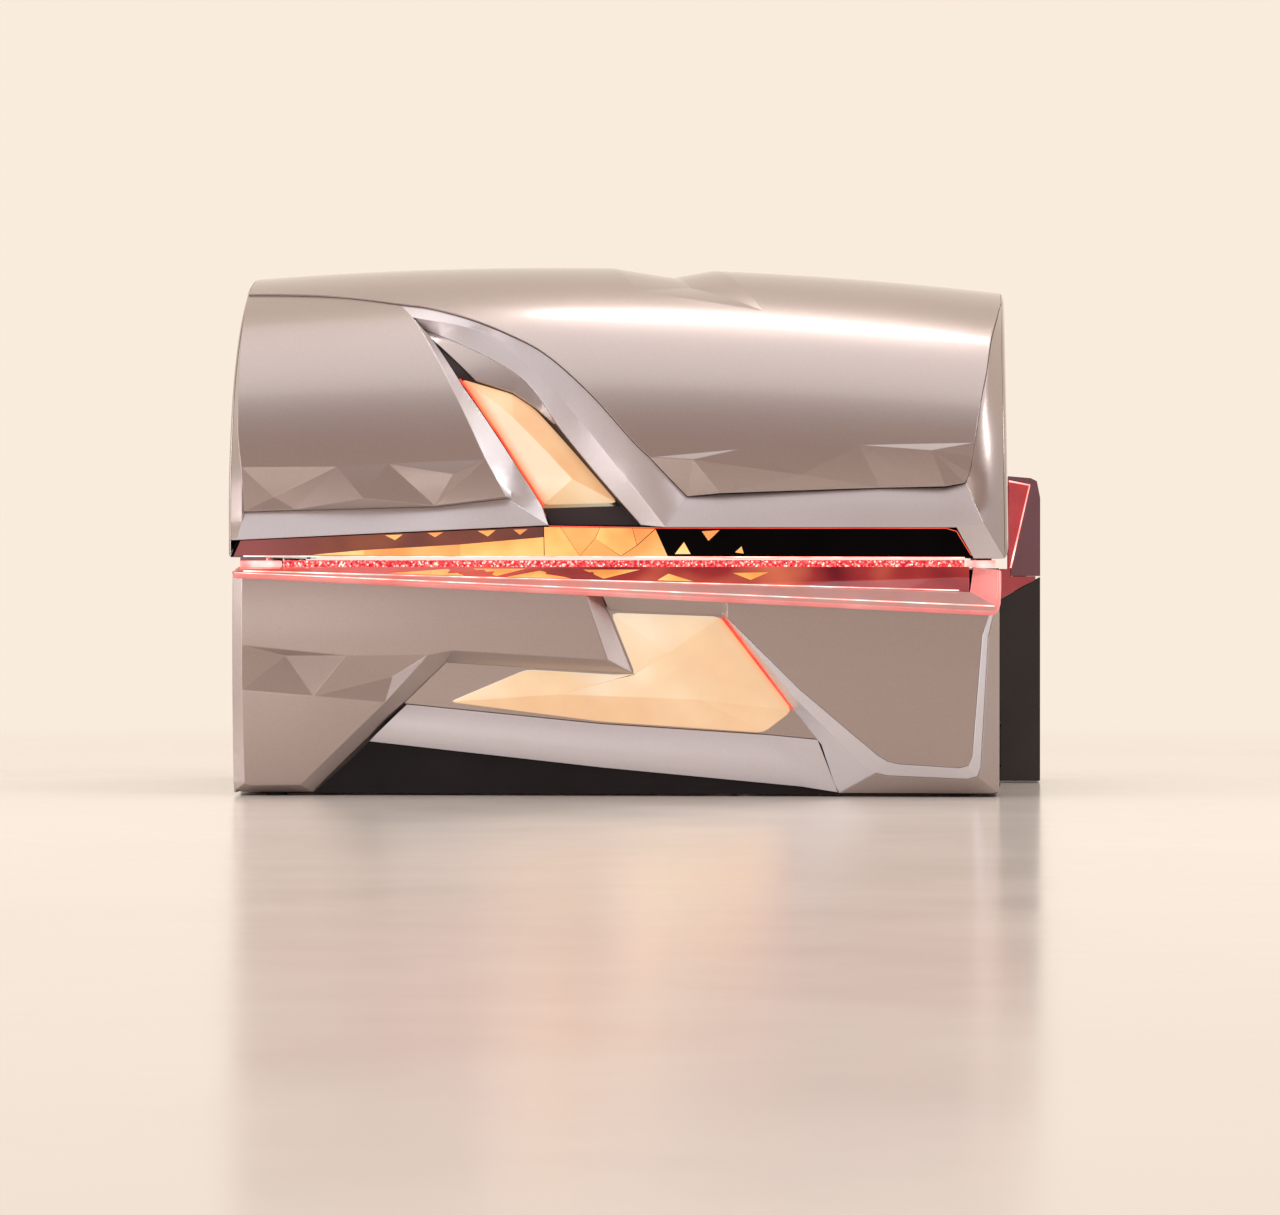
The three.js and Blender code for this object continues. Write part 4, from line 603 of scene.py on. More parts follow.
# Canopy barrel: top, rear and right panel with its faceted belt and the dart at the crest
canopyShell = {"wall": shellWall, "rim": 1.5, "crease": 1.2, "creaseFrom": 1.2, "cell": (36, 22)}
crest = math.pi / 2 * archForm["pace"]
rearEdge = math.pi * archForm["pace"] + archForm["rearSkirt"]
swoosh = smoothLine([
    seen(archForm["left"], 1427), seen(-834, 1419), seen(-629, 1393), seen(-541, 1380), seen(-423, 1346),
    seen(-305, 1298), seen(-202, 1242), seen(-70, 1127), seen(45, 1000), seen(100, 946)])
swooshSpan = 8
beltTop = [seen(100, 946), seen(350, 968), seen(682, 979), seen(1003, 985)]
beltFoot = [seen(205, 838, -18), seen(298, 846, -6), seen(741, 862, -17), seen(922, 865, -8), seen(976, 876, -16)]
beltEnd = [seen(990, 903, -12), seen(998, 950, -8)]
bevelInner = [seen(1009, 1025), seen(1021, 1109), seen(1036, 1185), seen(1050, 1286), seen(1066, 1350)]
bevelTopZ = 1398
bevelTop = seen(archForm["right"], bevelTopZ)


def canopyBarrel():
    left, right = archForm["left"], archForm["right"]
    beltA, beltB, beltC, beltE = beltTop
    footL, footG, footI, footJ, footK = beltFoot
    endLow, endHigh = beltEnd
    beltF, beltH, beltD = seen(222, 938, 6), seen(523, 897, -2), seen(885, 962, 6)
    dartRim = raised([(-60, crest), (40, 760), (404, 672), (329, 850), (238, crest), (150, 1420)], 0)
    leftRim, lowLeft, tip, lowRight, rightRim, rearRim = dartRim
    pit, valley = (121, crest, -26), (192, 847, -20)
    rear = raised([(right, crest), (right, rearEdge), (left, rearEdge), (left, crest)], 0)
    panel = {"outline": [*raised(swoosh, 0), beltB, beltC, beltE, *bevelInner, bevelTop, *rear], "holes": [dartRim]}
    drawing = [
        panel,
        [beltA, beltF, beltB], [beltA, footL, beltF], [beltF, footL, footG], [beltF, footG, beltH],
        [beltF, beltH, beltB], [beltB, beltH, beltC], [footG, footI, beltH], [beltH, footI, beltC],
        [beltC, footI, footJ], [beltC, footJ, beltD], [beltC, beltD, beltE], [beltD, footJ, footK],
        [beltD, footK, endLow], [beltD, endLow, endHigh], [beltD, endHigh, beltE],
        [leftRim, lowLeft, valley, pit], [lowLeft, tip, valley], [valley, tip, lowRight],
        [valley, lowRight, rightRim, pit], [pit, rightRim, rearRim], [pit, rearRim, leftRim]]
    piece = reliefShell("canopyBarrelShell", drawing, onArch, canopyShell)
    dress(piece, "canopy", "lacquer", finish["champagneLacquer"], "canopy_barrel")


canopyBarrel()

# Canopy front frame: left wing with its belt, slash rims, both rails and the right end bevel
seamHeight = -6.5
slashRimHeight = -40
wingHeight = -6
slashTip = seen(-589, 1356, seamHeight)
slashLine = smoothLine([slashTip, seen(-460, 1304), seen(-269, 1193), seen(-151, 1036), seen(-37, 890),
                        seen(75, 757)])
slashRight = [(x, along, seamHeight + (slashRimHeight - seamHeight) * min(1, i / 4) + 20 * max(0, i / 8 - 4) ** 2)
              for i, (x, along) in enumerate(slashLine)]
slashLeft = [seen(-533, 1311, -30), seen(-431, 1165, -42), seen(-204, 813, -37), seen(-181, 757, 4)]
railStart, railMitre, railEnd = seen(-1056, 716, 9), seen(145, 751, 12), seen(953, 750, 12)
cornerTop, cornerFoot = seen(1027, 765, -6), seen(1001, 664, -10)
creaseHeights = (seamHeight, -16, -24, -26, -18, 12)
creaseLine = smoothLine([slashTip, seen(-388, 1319), seen(-274, 1245), seen(-124, 1089), seen(16, 914), railMitre])
slashCrease = []
for i, (x, along) in enumerate(creaseLine[1:-1], 1):
    low, high = creaseHeights[i // 8], creaseHeights[i // 8 + 1]
    slashCrease.append((x, along, low + (high - low) * (i % 8) / 8))


def rightEdge(z):
    return archForm["right"] + archForm["flare"] * max(0, bevelTopZ - z)


bevelOuter = [seen(rightEdge(z), z, h) for z, h in ((664, -60), (770, -62), (881, -62), (1276, -40))]
chamferOuter = [seen(archForm["left"], z, h) for z, h in ((716, -40), (1000, -36), (1200, -24), (1424, -8))]


def canopyFrontFrame():
    seam = beside([*swoosh, *beltFoot, *beltEnd, beltTop[3], *bevelInner, bevelTop], seamGap)
    footEnd = len(swoosh) + len(beltFoot)
    tipSpan = 2 * swooshSpan + 1
    swooshSeam = raised(seam[:len(swoosh)], seamHeight)
    footSeam = raised(seam[len(swoosh):footEnd], -26)
    bevelSeam = raised(seam[footEnd:], -7)
    edge = raised([seen(-1046, 921), seen(-1059, 1019), seen(-1067, 1176), seen(-1075, 1337)], wingHeight)
    beltA = edge[0]
    beltB, beltC, beltD = seen(-776, 922, wingHeight), seen(-633, 931, wingHeight), seen(-359, 942, wingHeight)
    beltE, beltH, beltJ = seen(-955, 838, -24), seen(-699, 832, 10), seen(-448, 900, 2)
    foot = [seen(-1038, 797, -20), seen(-893, 802, -16), seen(-500, 812, -12), seen(-300, 837, -4)]
    ledge = raised([seen(-1037, 794), seen(-893, 799), seen(-500, 809), seen(-298, 833)], -28)
    drawing = [
        [*swooshSeam[:tipSpan], slashTip, beltD, beltC, beltB, *edge],
        [swooshSeam[0], *edge[::-1], foot[0], ledge[0], railStart, *chamferOuter],
        [beltA, beltE, beltB], [beltA, foot[0], beltE], [foot[0], foot[1], beltE], [beltE, foot[1], beltB],
        [beltB, foot[1], beltH], [beltB, beltH, beltC], [beltC, beltH, foot[2]], [foot[1], foot[2], beltH],
        [beltC, beltJ, beltD], [beltC, foot[2], beltJ], [beltD, beltJ, foot[2]], [beltD, foot[2], foot[3]],
        *[[foot[i], foot[i + 1], ledge[i + 1], ledge[i]] for i in range(3)],
        [footSeam[-1], cornerTop, *bevelOuter, *bevelSeam[::-1]]]
    trim = [
        [railStart, slashLeft[3], *ledge[::-1]], [slashTip, *slashLeft, ledge[3], foot[3], beltD],
        [*swooshSeam[tipSpan - 1:], footSeam[0], railMitre, *slashCrease[::-1], slashTip],
        [slashTip, *slashCrease, railMitre, *slashRight[:0:-1]],
        [railMitre, railEnd, cornerTop, *footSeam[::-1]],
        [railEnd, cornerFoot, bevelOuter[0], cornerTop]]
    piece = reliefShell("canopyFrontFrameShell", drawing, onArch, canopyShell)
    dress(piece, "canopy", "lacquer", finish["champagneLacquer"], "canopy_front_frame")
    piece = reliefShell("canopyTrimShell", trim, onArch, canopyShell)
    dress(piece, "canopy", "silver_rail", finish["silverLacquer"])


canopyFrontFrame()

# Slash recess and the amber panel in it
slashPanel = [seen(-443, 1204), seen(-294, 1156), seen(-228, 1108), seen(8, 822)]
slashPanelHeight = -60
slashRidge = -44
recessShell = {"wall": shellWall, "rim": 1.6, "crease": 1.6, "creaseFrom": 1.2, "cell": (30, 22)}
gemShell = {"wall": 8, "rim": 2.4, "crease": 1.2, "creaseFrom": 0.6, "cell": (30, 22)}


def slashRecess():
    wall = raised(beside(slashRight, seamGap)[1:], slashRimHeight - 1)
    heights = (-44, -60, -62, -50)
    rimTop, rimMid, rimLow, rimFoot = [(p[0], p[1], h) for p, h in zip(beside(slashLeft, -seamGap), heights)]
    panel = raised(beside(slashPanel, -seamGap), slashPanelHeight - 4)
    corner = (panel[0][0] - 3, panel[0][1] + 2, panel[0][2])
    turn = 2 * swooshSpan
    sillEnd = seen(14, 813, -62)
    drawing = [
        [seen(-572, 1338, -26), *wall[:turn], panel[1], corner, rimMid, rimTop],
        [*wall[turn - 1:], sillEnd, panel[3], panel[2], panel[1]],
        [seen(-202, 806, rimLow[2]), rimFoot, wall[-1], sillEnd],
        [corner, seen(-202, 814, slashPanelHeight - 4), rimLow, rimMid]]
    piece = reliefShell("slashRecessShell", drawing, onArch, recessShell)
    # The recess is painted near-black, as painted shade for the deep recess
    dress(piece, "canopy", "cowl_lacquer", finish["recessLacquer"], "slash_bezel")


def slashInnerFacet():
    outer = raised(beside(slashRight, seamGap)[1:], slashRimHeight)
    panel = beside(slashPanel, -seamGap)
    turn = 2 * swooshSpan
    tip, notch = seen(-562, 1335, -29), seen(-400, 1195, -54)
    top, bend = (*panel[1], -52), (*panel[2], -50)
    inner = [seen(22, 818, -46), seen(-95, 977, -48), seen(-146, 1032, -49)]
    drawing = [[tip, *outer[:turn], top, notch], [*outer[turn - 1:], *inner, bend, top]]
    piece = reliefShell("slashInnerFacet", drawing, onArch, recessShell)
    dress(piece, "canopy", "lacquer", finish["champagneLacquer"])


def slashAmber():
    start, top, bend, end = raised(slashPanel, slashPanelHeight)
    foot = seen(-199, 816, slashPanelHeight)
    ridgeTop, ridgeLow = seen(-288, 1076, slashRidge), seen(-118, 892, slashRidge)
    drawing = [[start, foot, ridgeLow, ridgeTop], [start, ridgeTop, top], [top, ridgeTop, bend],
               [bend, ridgeTop, ridgeLow, end], [end, ridgeLow, foot]]
    drawing = softCorners(drawing, [start, top, bend, end, foot], 16)
    piece = reliefShell("slashAmberPanel", drawing, onArch, gemShell)
    dress(piece, "canopy", "amber_panel", finish["amberSlash"], "slash_light_panel")


def slashEdgeLight():
    low, high = slashPanel[0], (-199, alongAt(-199, 816))
    line = []
    for step in range(25):
        share = step / 24
        x, along = (a + (b - a) * share for a, b in zip(low, high))
        line.append(onArch(x - 3, along - 1, slashPanelHeight - 2))
    piece = swept("slashEdgeLight", [line], 3.2, finish["redEdge"])
    dress(piece, "canopy", "red_lens", finish["redEdge"])


slashRecess()
slashInnerFacet()
slashAmber()
print("canopy shells made")

# Geometry Nodes trees for what repeats or follows a path
def newTree(name, inputs):
    tree = bpy.data.node_groups.new(name, "GeometryNodeTree")
    tree.interface.new_socket(name="Geometry", in_out="INPUT", socket_type="NodeSocketGeometry")
    for label, kind in inputs.items():
        tree.interface.new_socket(name=label, in_out="INPUT", socket_type="NodeSocket" + kind)
    tree.interface.new_socket(name="Geometry", in_out="OUTPUT", socket_type="NodeSocketGeometry")
    return tree, tree.nodes.new("NodeGroupInput"), tree.nodes.new("NodeGroupOutput")


def joined(tree, *steps):  # links the first output of each step to the next one's named input
    for (source, outlet), (target, inlet) in steps:
        tree.links.new(source.outputs[outlet], target.inputs[inlet])


def grown(name, data, tree, values):  # the mesh a tree makes of the data
    piece = addObject(name, data)
    growth = piece.modifiers.new("growth", "NODES")
    growth.node_group = tree
    for item in tree.interface.items_tree:
        if item.item_type == "SOCKET" and item.in_out == "INPUT" and item.name in values:
            growth[item.identifier] = values[item.name]
    mesh = bakedMesh(piece)
    return addObject(name, mesh)


def sweepTree():
    tree, given, result = newTree("sweep", {"Radius": "Float", "Sides": "Int", "Material": "Material"})
    ring = tree.nodes.new("GeometryNodeCurvePrimitiveCircle")
    tube = tree.nodes.new("GeometryNodeCurveToMesh")
    tube.inputs["Fill Caps"].default_value = True
    smooth = tree.nodes.new("GeometryNodeSetShadeSmooth")
    real = tree.nodes.new("GeometryNodeRealizeInstances")
    paint = tree.nodes.new("GeometryNodeSetMaterial")
    joined(tree, ((given, "Radius"), (ring, "Radius")), ((given, "Sides"), (ring, "Resolution")),
           ((given, "Geometry"), (tube, "Curve")), ((ring, "Curve"), (tube, "Profile Curve")),
           ((tube, "Mesh"), (smooth, "Geometry")), ((smooth, "Geometry"), (real, "Geometry")),
           ((real, "Geometry"), (paint, "Geometry")), ((given, "Material"), (paint, "Material")),
           ((paint, "Geometry"), (result, "Geometry")))
    return tree


def scatterTree():  # one small part at every given point, turned and sized a little at random
    tree, given, result = newTree("scatter", {
        "Part": "Object", "Seed": "Int", "Smallest": "Float", "Largest": "Float", "Turn": "Float",
        "Material": "Material"})
    part = tree.nodes.new("GeometryNodeObjectInfo")
    size = tree.nodes.new("FunctionNodeRandomValue")
    size.data_type = "FLOAT"
    turn = tree.nodes.new("FunctionNodeRandomValue")
    turn.data_type = "FLOAT_VECTOR"
    back = tree.nodes.new("ShaderNodeMath")
    back.operation = "MULTIPLY"
    back.inputs[1].default_value = -1
    place = tree.nodes.new("GeometryNodeInstanceOnPoints")
    real = tree.nodes.new("GeometryNodeRealizeInstances")
    paint = tree.nodes.new("GeometryNodeSetMaterial")
    joined(tree, ((given, "Part"), (part, "Object")), ((given, "Seed"), (size, "Seed")),
           ((given, "Seed"), (turn, "Seed")), ((given, "Turn"), (back, 0)))
    tree.links.new(given.outputs["Smallest"], size.inputs[2])
    tree.links.new(given.outputs["Largest"], size.inputs[3])
    tree.links.new(back.outputs[0], turn.inputs[0])
    tree.links.new(given.outputs["Turn"], turn.inputs[1])
    tree.links.new(size.outputs[1], place.inputs["Scale"])
    tree.links.new(turn.outputs[0], place.inputs["Rotation"])
    joined(tree, ((given, "Geometry"), (place, "Points")), ((part, "Geometry"), (place, "Instance")),
           ((place, "Instances"), (real, "Geometry")), ((real, "Geometry"), (paint, "Geometry")),
           ((given, "Material"), (paint, "Material")), ((paint, "Geometry"), (result, "Geometry")))
    return tree


trees = {"sweep": sweepTree(), "scatter": scatterTree()}


def swept(name, paths, radius, material, sides=10):  # round lines along paths given in millimetres
    curve = bpy.data.curves.new(name, "CURVE")
    curve.dimensions = "3D"
    for path in paths:
        spline = curve.splines.new("POLY")
        spline.points.add(len(path) - 1)
        for point, place in zip(spline.points, path):
            point.co = (*(Vector(place) * mm), 1)
    piece = grown(name, curve, trees["sweep"], {"Radius": radius * mm, "Sides": sides, "Material": material})
    bpy.data.curves.remove(curve)
    return piece


def meshOf(name, points, faces):
    mesh = bpy.data.meshes.new(name)
    mesh.from_pydata([Vector(p) * mm for p in points], [], faces)
    return mesh


def scattered(name, points, part, look, material):
    cloud = meshOf(name, points, [])
    piece = grown(name, cloud, trees["scatter"], {
        "Part": part, "Seed": look["seed"], "Smallest": look["smallest"], "Largest": look["largest"],
        "Turn": look["turn"], "Material": material})
    bpy.data.objects.remove(part)
    return piece


def lofted(name, sections):  # closed body through equal rings of points
    count = len(sections[0])
    points = [p for section in sections for p in section]
    faces = [tuple(reversed(range(count))), tuple(range(len(points) - count, len(points)))]
    for row in range(len(sections) - 1):
        for i in range(count):
            a, b = row * count + i, row * count + (i + 1) % count
            faces.append((a, b, b + count, a + count))
    return meshOf(name, points, faces)


def extruded(name, outline, axis, low, high):  # prism of an outline along one axis
    rings = []
    for level in (low, high):
        rings.append([tuple(p[:axis]) + (level,) + tuple(p[axis:]) for p in outline])
    return lofted(name, rings)


def outward(mesh):
    bm = bmesh.new()
    bm.from_mesh(mesh)
    bmesh.ops.recalc_face_normals(bm, faces=bm.faces[:])
    bm.to_mesh(mesh)
    bm.free()
    return mesh


def merged(name, meshes):  # several closed bodies in one mesh
    bm = bmesh.new()
    for mesh in meshes:
        bm.from_mesh(mesh)
        bpy.data.meshes.remove(mesh)
    bmesh.ops.recalc_face_normals(bm, faces=bm.faces[:])
    mesh = bpy.data.meshes.new(name)
    bm.to_mesh(mesh)
    bm.free()
    return mesh


# Black glass strip under the canopy rails, with a painted red glow on its left part, lit inlays and a lit foot edge
fasciaTop = [(-1055.3, 715), (-181, 755.8), (145, 749.8), (952, 748.8)]
fasciaFoot = [(-1077, 670), (999.8, 664.5)]
fasciaShell = {"wall": 8, "rim": 1.2, "crease": 1.0, "creaseFrom": 1.2, "cell": (40, 22),
               "topHeight": -6, "footHeight": -25}
inlayShell = {"wall": 1.1, "rim": 0.35, "crease": 0.3, "creaseFrom": 5, "cell": (60, 40), "proud": 0.5}


def lineAt(line, x):
    for (x0, z0), (x1, z1) in zip(line, line[1:]):
        if x <= x1 or (x1, z1) == line[-1]:
            return z0 + (z1 - z0) * (x - x0) / (x1 - x0)


def onFascia(x, share, proud=0.0):  # share 0 is the foot of the glass, 1 its top
    foot, top = lineAt(fasciaFoot, x), lineAt(fasciaTop, x)
    height = fasciaShell["footHeight"] + (fasciaShell["topHeight"] - fasciaShell["footHeight"]) * share
    return (x, foot + (top - foot) * share - archForm["springZ"], height + proud)


# Patch of painted red glow on the left part of the canopy's black glass
glassPaintedGlowPatch = [(-1068, 0.03), (-196, 0.03), (-196, 0.97), (-1046, 0.97)]
canopyInlays = {
    "amberInlay": [
        [(-846, 0.10), (-700, 0.07), (-700, 0.30)], [(-430, 0.05), (-196, 0.04), (-196, 0.64), (-430, 0.46)],
        [(-194, 0.04), (-96, 0.04), (-150, 0.96), (-194, 0.96)],
        [(-37, 0.96), (-51.6, 0.60), (19, 0.05), (64, 0.40), (52, 0.96)],
        [(170, 0.12), (214, 0.12), (196, 0.52)], [(338, 0.18), (362, 0.14), (356, 0.38)],
        [(-640, 0.92), (-612, 0.70), (-590, 0.92)], [(-380, 0.93), (-352, 0.72), (-330, 0.93)]],
    "amberDeep": [
        [(-700, 0.07), (-430, 0.05), (-430, 0.46), (-700, 0.30)],
        [(-95.2, 0.04), (18, 0.04), (-52, 0.60)], [(-149, 0.96), (-95.6, 0.05), (-52.6, 0.61), (-38, 0.96)],
        [(53, 0.96), (65, 0.41), (116, 0.96)], [(20, 0.04), (150, 0.04), (117, 0.94), (65.6, 0.39)],
        [(246, 0.88), (296, 0.92), (264, 0.56)],
        [(-520, 0.94), (-500, 0.76), (-476, 0.94)], [(-280, 0.92), (-262, 0.74), (-240, 0.92)]]}


def canopyFascia():
    top = [(x, z - archForm["springZ"], fasciaShell["topHeight"]) for x, z in fasciaTop]
    foot = [(x, z - archForm["springZ"], fasciaShell["footHeight"]) for x, z in fasciaFoot[::-1]]
    piece = reliefShell("canopyFasciaGlass", [[*top, *foot]], onArch, fasciaShell)
    dress(piece, "canopy", "fascia_glass", finish["blackGlass"], "canopy_fascia")
    wash = [onFascia(x, share, inlayShell["proud"] * 0.5) for x, share in glassPaintedGlowPatch]
    piece = reliefShell("canopyFasciaWash", [wash], onArch, inlayShell)
    dress(piece, "canopy", "fascia_glass", finish["washedGlass"])
    for look, inlays in canopyInlays.items():
        drawing = [[onFascia(x, share, inlayShell["proud"]) for x, share in inlay] for inlay in inlays]
        piece = reliefShell("canopyFascia" + look[0].upper() + look[1:], drawing, onArch, inlayShell)
        dress(piece, "canopy", "amber_panel", finish[look])
    line = [onArch(*onFascia(x, 0.02, 0.6)) for x in range(-1040, 992, 16)]
    piece = swept("canopyFootLight", [line], 1.7, finish["ledLine"])
    dress(piece, "canopy", "red_lens", finish["ledLine"])
    edge = [onArch(*onFascia(x, 0.985, 0.4)) for x in range(-180, 948, 24)]
    edge += [onArch(*onFascia(948 + 5.0 * k, 0.985 - 0.098 * k, 0.4)) for k in range(1, 10)]
    piece = swept("canopyEdgeLight", [edge], 1.1, finish["redEdge"], 8)
    dress(piece, "canopy", "red_lens", finish["redEdge"])


canopyFascia()
slashEdgeLight()

# Domed canopy ends with the floor shelf inside
endCap = {"rows": 9, "out": 10, "inset": 40, "steps": 108, "heelY": 560, "shelfFrontY": -580, "shelfRearY": 530,
          "shelfX": 983.9, "shelfThick": 5, "wellX": 1062, "wellY": (305, 392), "pinY": 540, "pinZ": 720,
          "pinHole": 19}


def heightAt(rows, along):
    for (low, start), (high, end) in zip(rows, rows[1:]):
        if along <= high:
            return start + (end - start) * max(0, along - low) / (high - low)
    return -1


def drilled(name, mesh, holes):  # holes are (radius, start, end) along any line
    piece = addObject(name, mesh)
    drills = []
    for radius, start, end in holes:
        bm = bmesh.new()
        run = Vector(end) - Vector(start)
        turn = run.to_track_quat("Z", "Y").to_matrix().to_4x4()
        middle = Matrix.Translation((Vector(start) + Vector(end)) / 2 * mm)
        bmesh.ops.create_cone(bm, cap_ends=True, segments=32, radius1=radius * mm, radius2=radius * mm,
                              depth=run.length * mm, matrix=middle @ turn)
        drillMesh = bpy.data.meshes.new("drill")
        bm.to_mesh(drillMesh)
        bm.free()
        drills.append(addObject("drill", drillMesh))
        bore = piece.modifiers.new("bore", "BOOLEAN")
        bore.operation = "DIFFERENCE"
        bore.solver = "EXACT"
        bore.object = drills[-1]
    mesh = bakedMesh(piece)
    for drill in drills:
        bpy.data.objects.remove(drill)
    return mesh


def canopyEnd(side):
    word = "Left" if side < 0 else "Right"
    half = archForm["right"]
    outer = chamferOuter if side < 0 else bevelOuter
    rows = [(along, height - 1) for _, along, height in outer]
    rows += [(alongAt(-half, 1440), -1)] if side < 0 else [(bevelTop[1], -9)]
    rows = sorted(rows + [(bevelTop[1] + 40, -1)])
    rearFoot = math.pi * archForm["pace"]
    floor = archForm["floorZ"] - archForm["springZ"]
    levels = [-60 * k / 6 for k in range(6, 0, -1)]
    levels += [rearFoot * k / endCap["steps"] for k in range(endCap["steps"] + 1)]

    def shellX(along):
        return half if side < 0 else rightEdge(onArch(half, along, 0).z)

    sections = []
    for row in range(endCap["rows"]):
        turn = math.pi / 2 * row / (endCap["rows"] - 1)
        out, inset = endCap["out"] * math.sin(turn), endCap["inset"] * (1 - math.cos(turn))
        ring = []
        for along in [floor + inset, *levels, rearEdge - inset]:
            place = onArch(side * half, along, heightAt(rows, along) - inset)
            place.x = side * (shellX(along) + seamGap + out)
            ring.append(place)
        ring.append((side * (shellX(0) + seamGap + out), endCap["heelY"] - inset, archForm["floorZ"] + inset))
        sections.append(ring)
    cap = outward(lofted("canopyEndCap" + word, sections))
    pin = (endCap["pinHole"], (side * 1000, endCap["pinY"], endCap["pinZ"]),
           (side * 1150, endCap["pinY"], endCap["pinZ"]))
    cap = drilled("canopyEndCap" + word, cap, [pin])
    near, far, well = endCap["shelfX"], shellX(floor) + seamGap + 2, endCap["wellX"]
    outline = [(near, endCap["shelfFrontY"]), (far, endCap["shelfFrontY"]), (far, endCap["shelfRearY"]),
               (near, endCap["shelfRearY"]), (near, endCap["wellY"][1]), (well, endCap["wellY"][1]),
               (well, endCap["wellY"][0]), (near, endCap["wellY"][0])]
    outline = [(side * x, y) for x, y in outline]
    shelf = extruded("shelf", outline, 2, archForm["floorZ"], archForm["floorZ"] + endCap["shelfThick"])
    name = "canopyEndCap" + word
    piece = addObject(name, weighted(name, merged(name, [cap, shelf]), 50))
    dress(piece, "canopy", "lacquer", finish["champagneLacquer"], "canopy_end_" + word.lower())


for side in (-1, 1):
    canopyEnd(side)
print("canopy ends made")

# Base front: left panel with its facets and arm, right panel with the swept band
panelShell = {"wall": shellWall, "rim": 2.4, "crease": 2.0, "creaseFrom": 1.2, "cell": (60, 40)}
bevelDepth = -38
panelFoot = frontForm["floorGap"] + 4


def atTop(x, height=0.0):
    return (x, frontTop(x), height)


def frontPanelLeft():
    outerTop, outerFoot = (-1072, frontTop(-1072), -22), (-1072, panelFoot, -22)
    innerTop, innerFoot = atTop(-1042), (-1042, 31, 0)
    facetA, facetB, facetC, facetD = (-1042, 422, 0), (-922, 392, -20), (-749, 393, 0), (-520, 395, 0)
    facetE, facetF, facetG, facetH = (-1042, 296, 0), (-841, 280, 4), (-620, 334, -16), (-640, 262, 0)
    legInner, legFoot = (-880, 31, 0), (-852, panelFoot, bevelDepth)
    armUnder, armNose, armTop = (-449, 408, 0), (-16, 382, 0), atTop(-80)
    armFoot, armTip, armOuterTop = (-476, 373, bevelDepth), (52, 343, bevelDepth), atTop(-40, bevelDepth)
    drawing = [
        [outerTop, outerFoot, innerFoot, facetE, facetA, innerTop],
        [outerFoot, legFoot, legInner, innerFoot],
        [legFoot, armFoot, armUnder, facetD, facetH, legInner],
        [armFoot, armTip, armNose, armUnder],
        [armTip, armOuterTop, armTop, armNose],
        [innerTop, facetA, facetD, armUnder, armNose, armTop],
        [facetA, facetB, facetC], [facetA, facetC, facetD], [facetA, facetE, facetB],
        [facetB, facetE, facetF], [facetB, facetF, facetC], [facetC, facetF, facetG],
        [facetC, facetG, facetD], [facetF, facetH, facetG], [facetG, facetH, facetD],
        [facetE, innerFoot, legInner, facetH, facetF],
        [legFoot, (-838, panelFoot, -58), (-464, 371, -58), armFoot]]
    drawing = softCorners(drawing, [outerTop, outerFoot, legFoot], 24, (outerTop, legFoot))
    drawing = softCorners(drawing, [innerTop, innerFoot, legInner], 18, (innerTop, legInner))
    piece = reliefShell("frontPanelLeftShell", drawing, onFront, panelShell)
    dress(piece, "base", "lacquer", finish["champagneLacquer"], "front_panel_left")


def frontPanelRight():
    stripTop, stripFoot, stripEnd = atTop(-36), (-15, 520, bevelDepth), atTop(317)
    bandTop = (300, 508, bevelDepth)
    bandSteps = raised([(503, 238), (577, 146), (614, 34), (626, panelFoot)], bevelDepth)
    outerFoot, outerTop = (1072, panelFoot, bevelDepth), (1072, frontTop(1072), -45)
    flatTop, flatBend, flatFoot = (317, 499, 0), (519, 299, 0), (760, 95, 0)
    flatEnd, flatSide, flatCorner = (994, 80, 0), (1024, 450, 0), atTop(1046)
    trimBend, trimFoot = (499, 282, -7), (726, 62, -9)
    trimEnd, trimSide, trimTop = (1018, 50, -9), (1041, 450, -9), atTop(1057, -10)
    drawing = [
        [stripTop, stripFoot, bandTop, flatTop, stripEnd],
        [flatTop, flatBend, flatFoot, flatEnd, flatSide, flatCorner, stripEnd],
        [flatTop, trimBend, trimFoot, flatFoot, flatBend],
        [bandTop, *bandSteps, trimFoot, trimBend, flatTop],
        [trimFoot, trimEnd, flatEnd, flatFoot],
        [trimEnd, trimSide, trimTop, flatCorner, flatSide, flatEnd],
        [bandSteps[3], outerFoot, trimEnd, trimFoot],
        [outerFoot, outerTop, trimTop, trimSide, trimEnd]]
    drawing = softCorners(drawing, [bandSteps[3], outerFoot, outerTop], 20, (bandSteps[3], outerTop))
    drawing = softCorners(drawing, [flatBend, flatFoot, flatEnd, flatSide], 34, (flatBend, flatSide))
    drawing = softCorners(drawing, [trimBend, trimFoot, trimEnd, trimSide], 34, (trimBend, trimSide))
    piece = reliefShell("frontPanelRightShell", drawing[:2], onFront, panelShell)
    dress(piece, "base", "lacquer", finish["champagneLacquer"], "front_panel_right")
    piece = reliefShell("frontBandShell", drawing[2:6], onFront, panelShell)
    dress(piece, "base", "silver_rail", finish["frontSilver"])
    piece = reliefShell("frontLegEdgeShell", drawing[6:], onFront, panelShell)
    dress(piece, "base", "lacquer", finish["champagneLacquer"])


frontPanelLeft()
frontPanelRight()

# Amber bolt panel on its recessed plate, with a red edge light
bezelFace = -44.4
boltShell = {"wall": 8, "rim": 2.4, "crease": 1.2, "creaseFrom": 0.6, "cell": (60, 40)}


def frontBezel():
    outline = [(-610, 262), (-492, 388), (40, 356), (-34, 532), (312, 520), (520, 238), (580, 160.5),
               (563, 159.8), (416, 173.8), (-38, 202.8), (-583, 256.8)]
    piece = reliefShell("frontBezelPlate", [raised(outline, bezelFace)], onFront, panelShell)
    dress(piece, "base", "lacquer", finish["champagneLacquer"], "front_bezel")


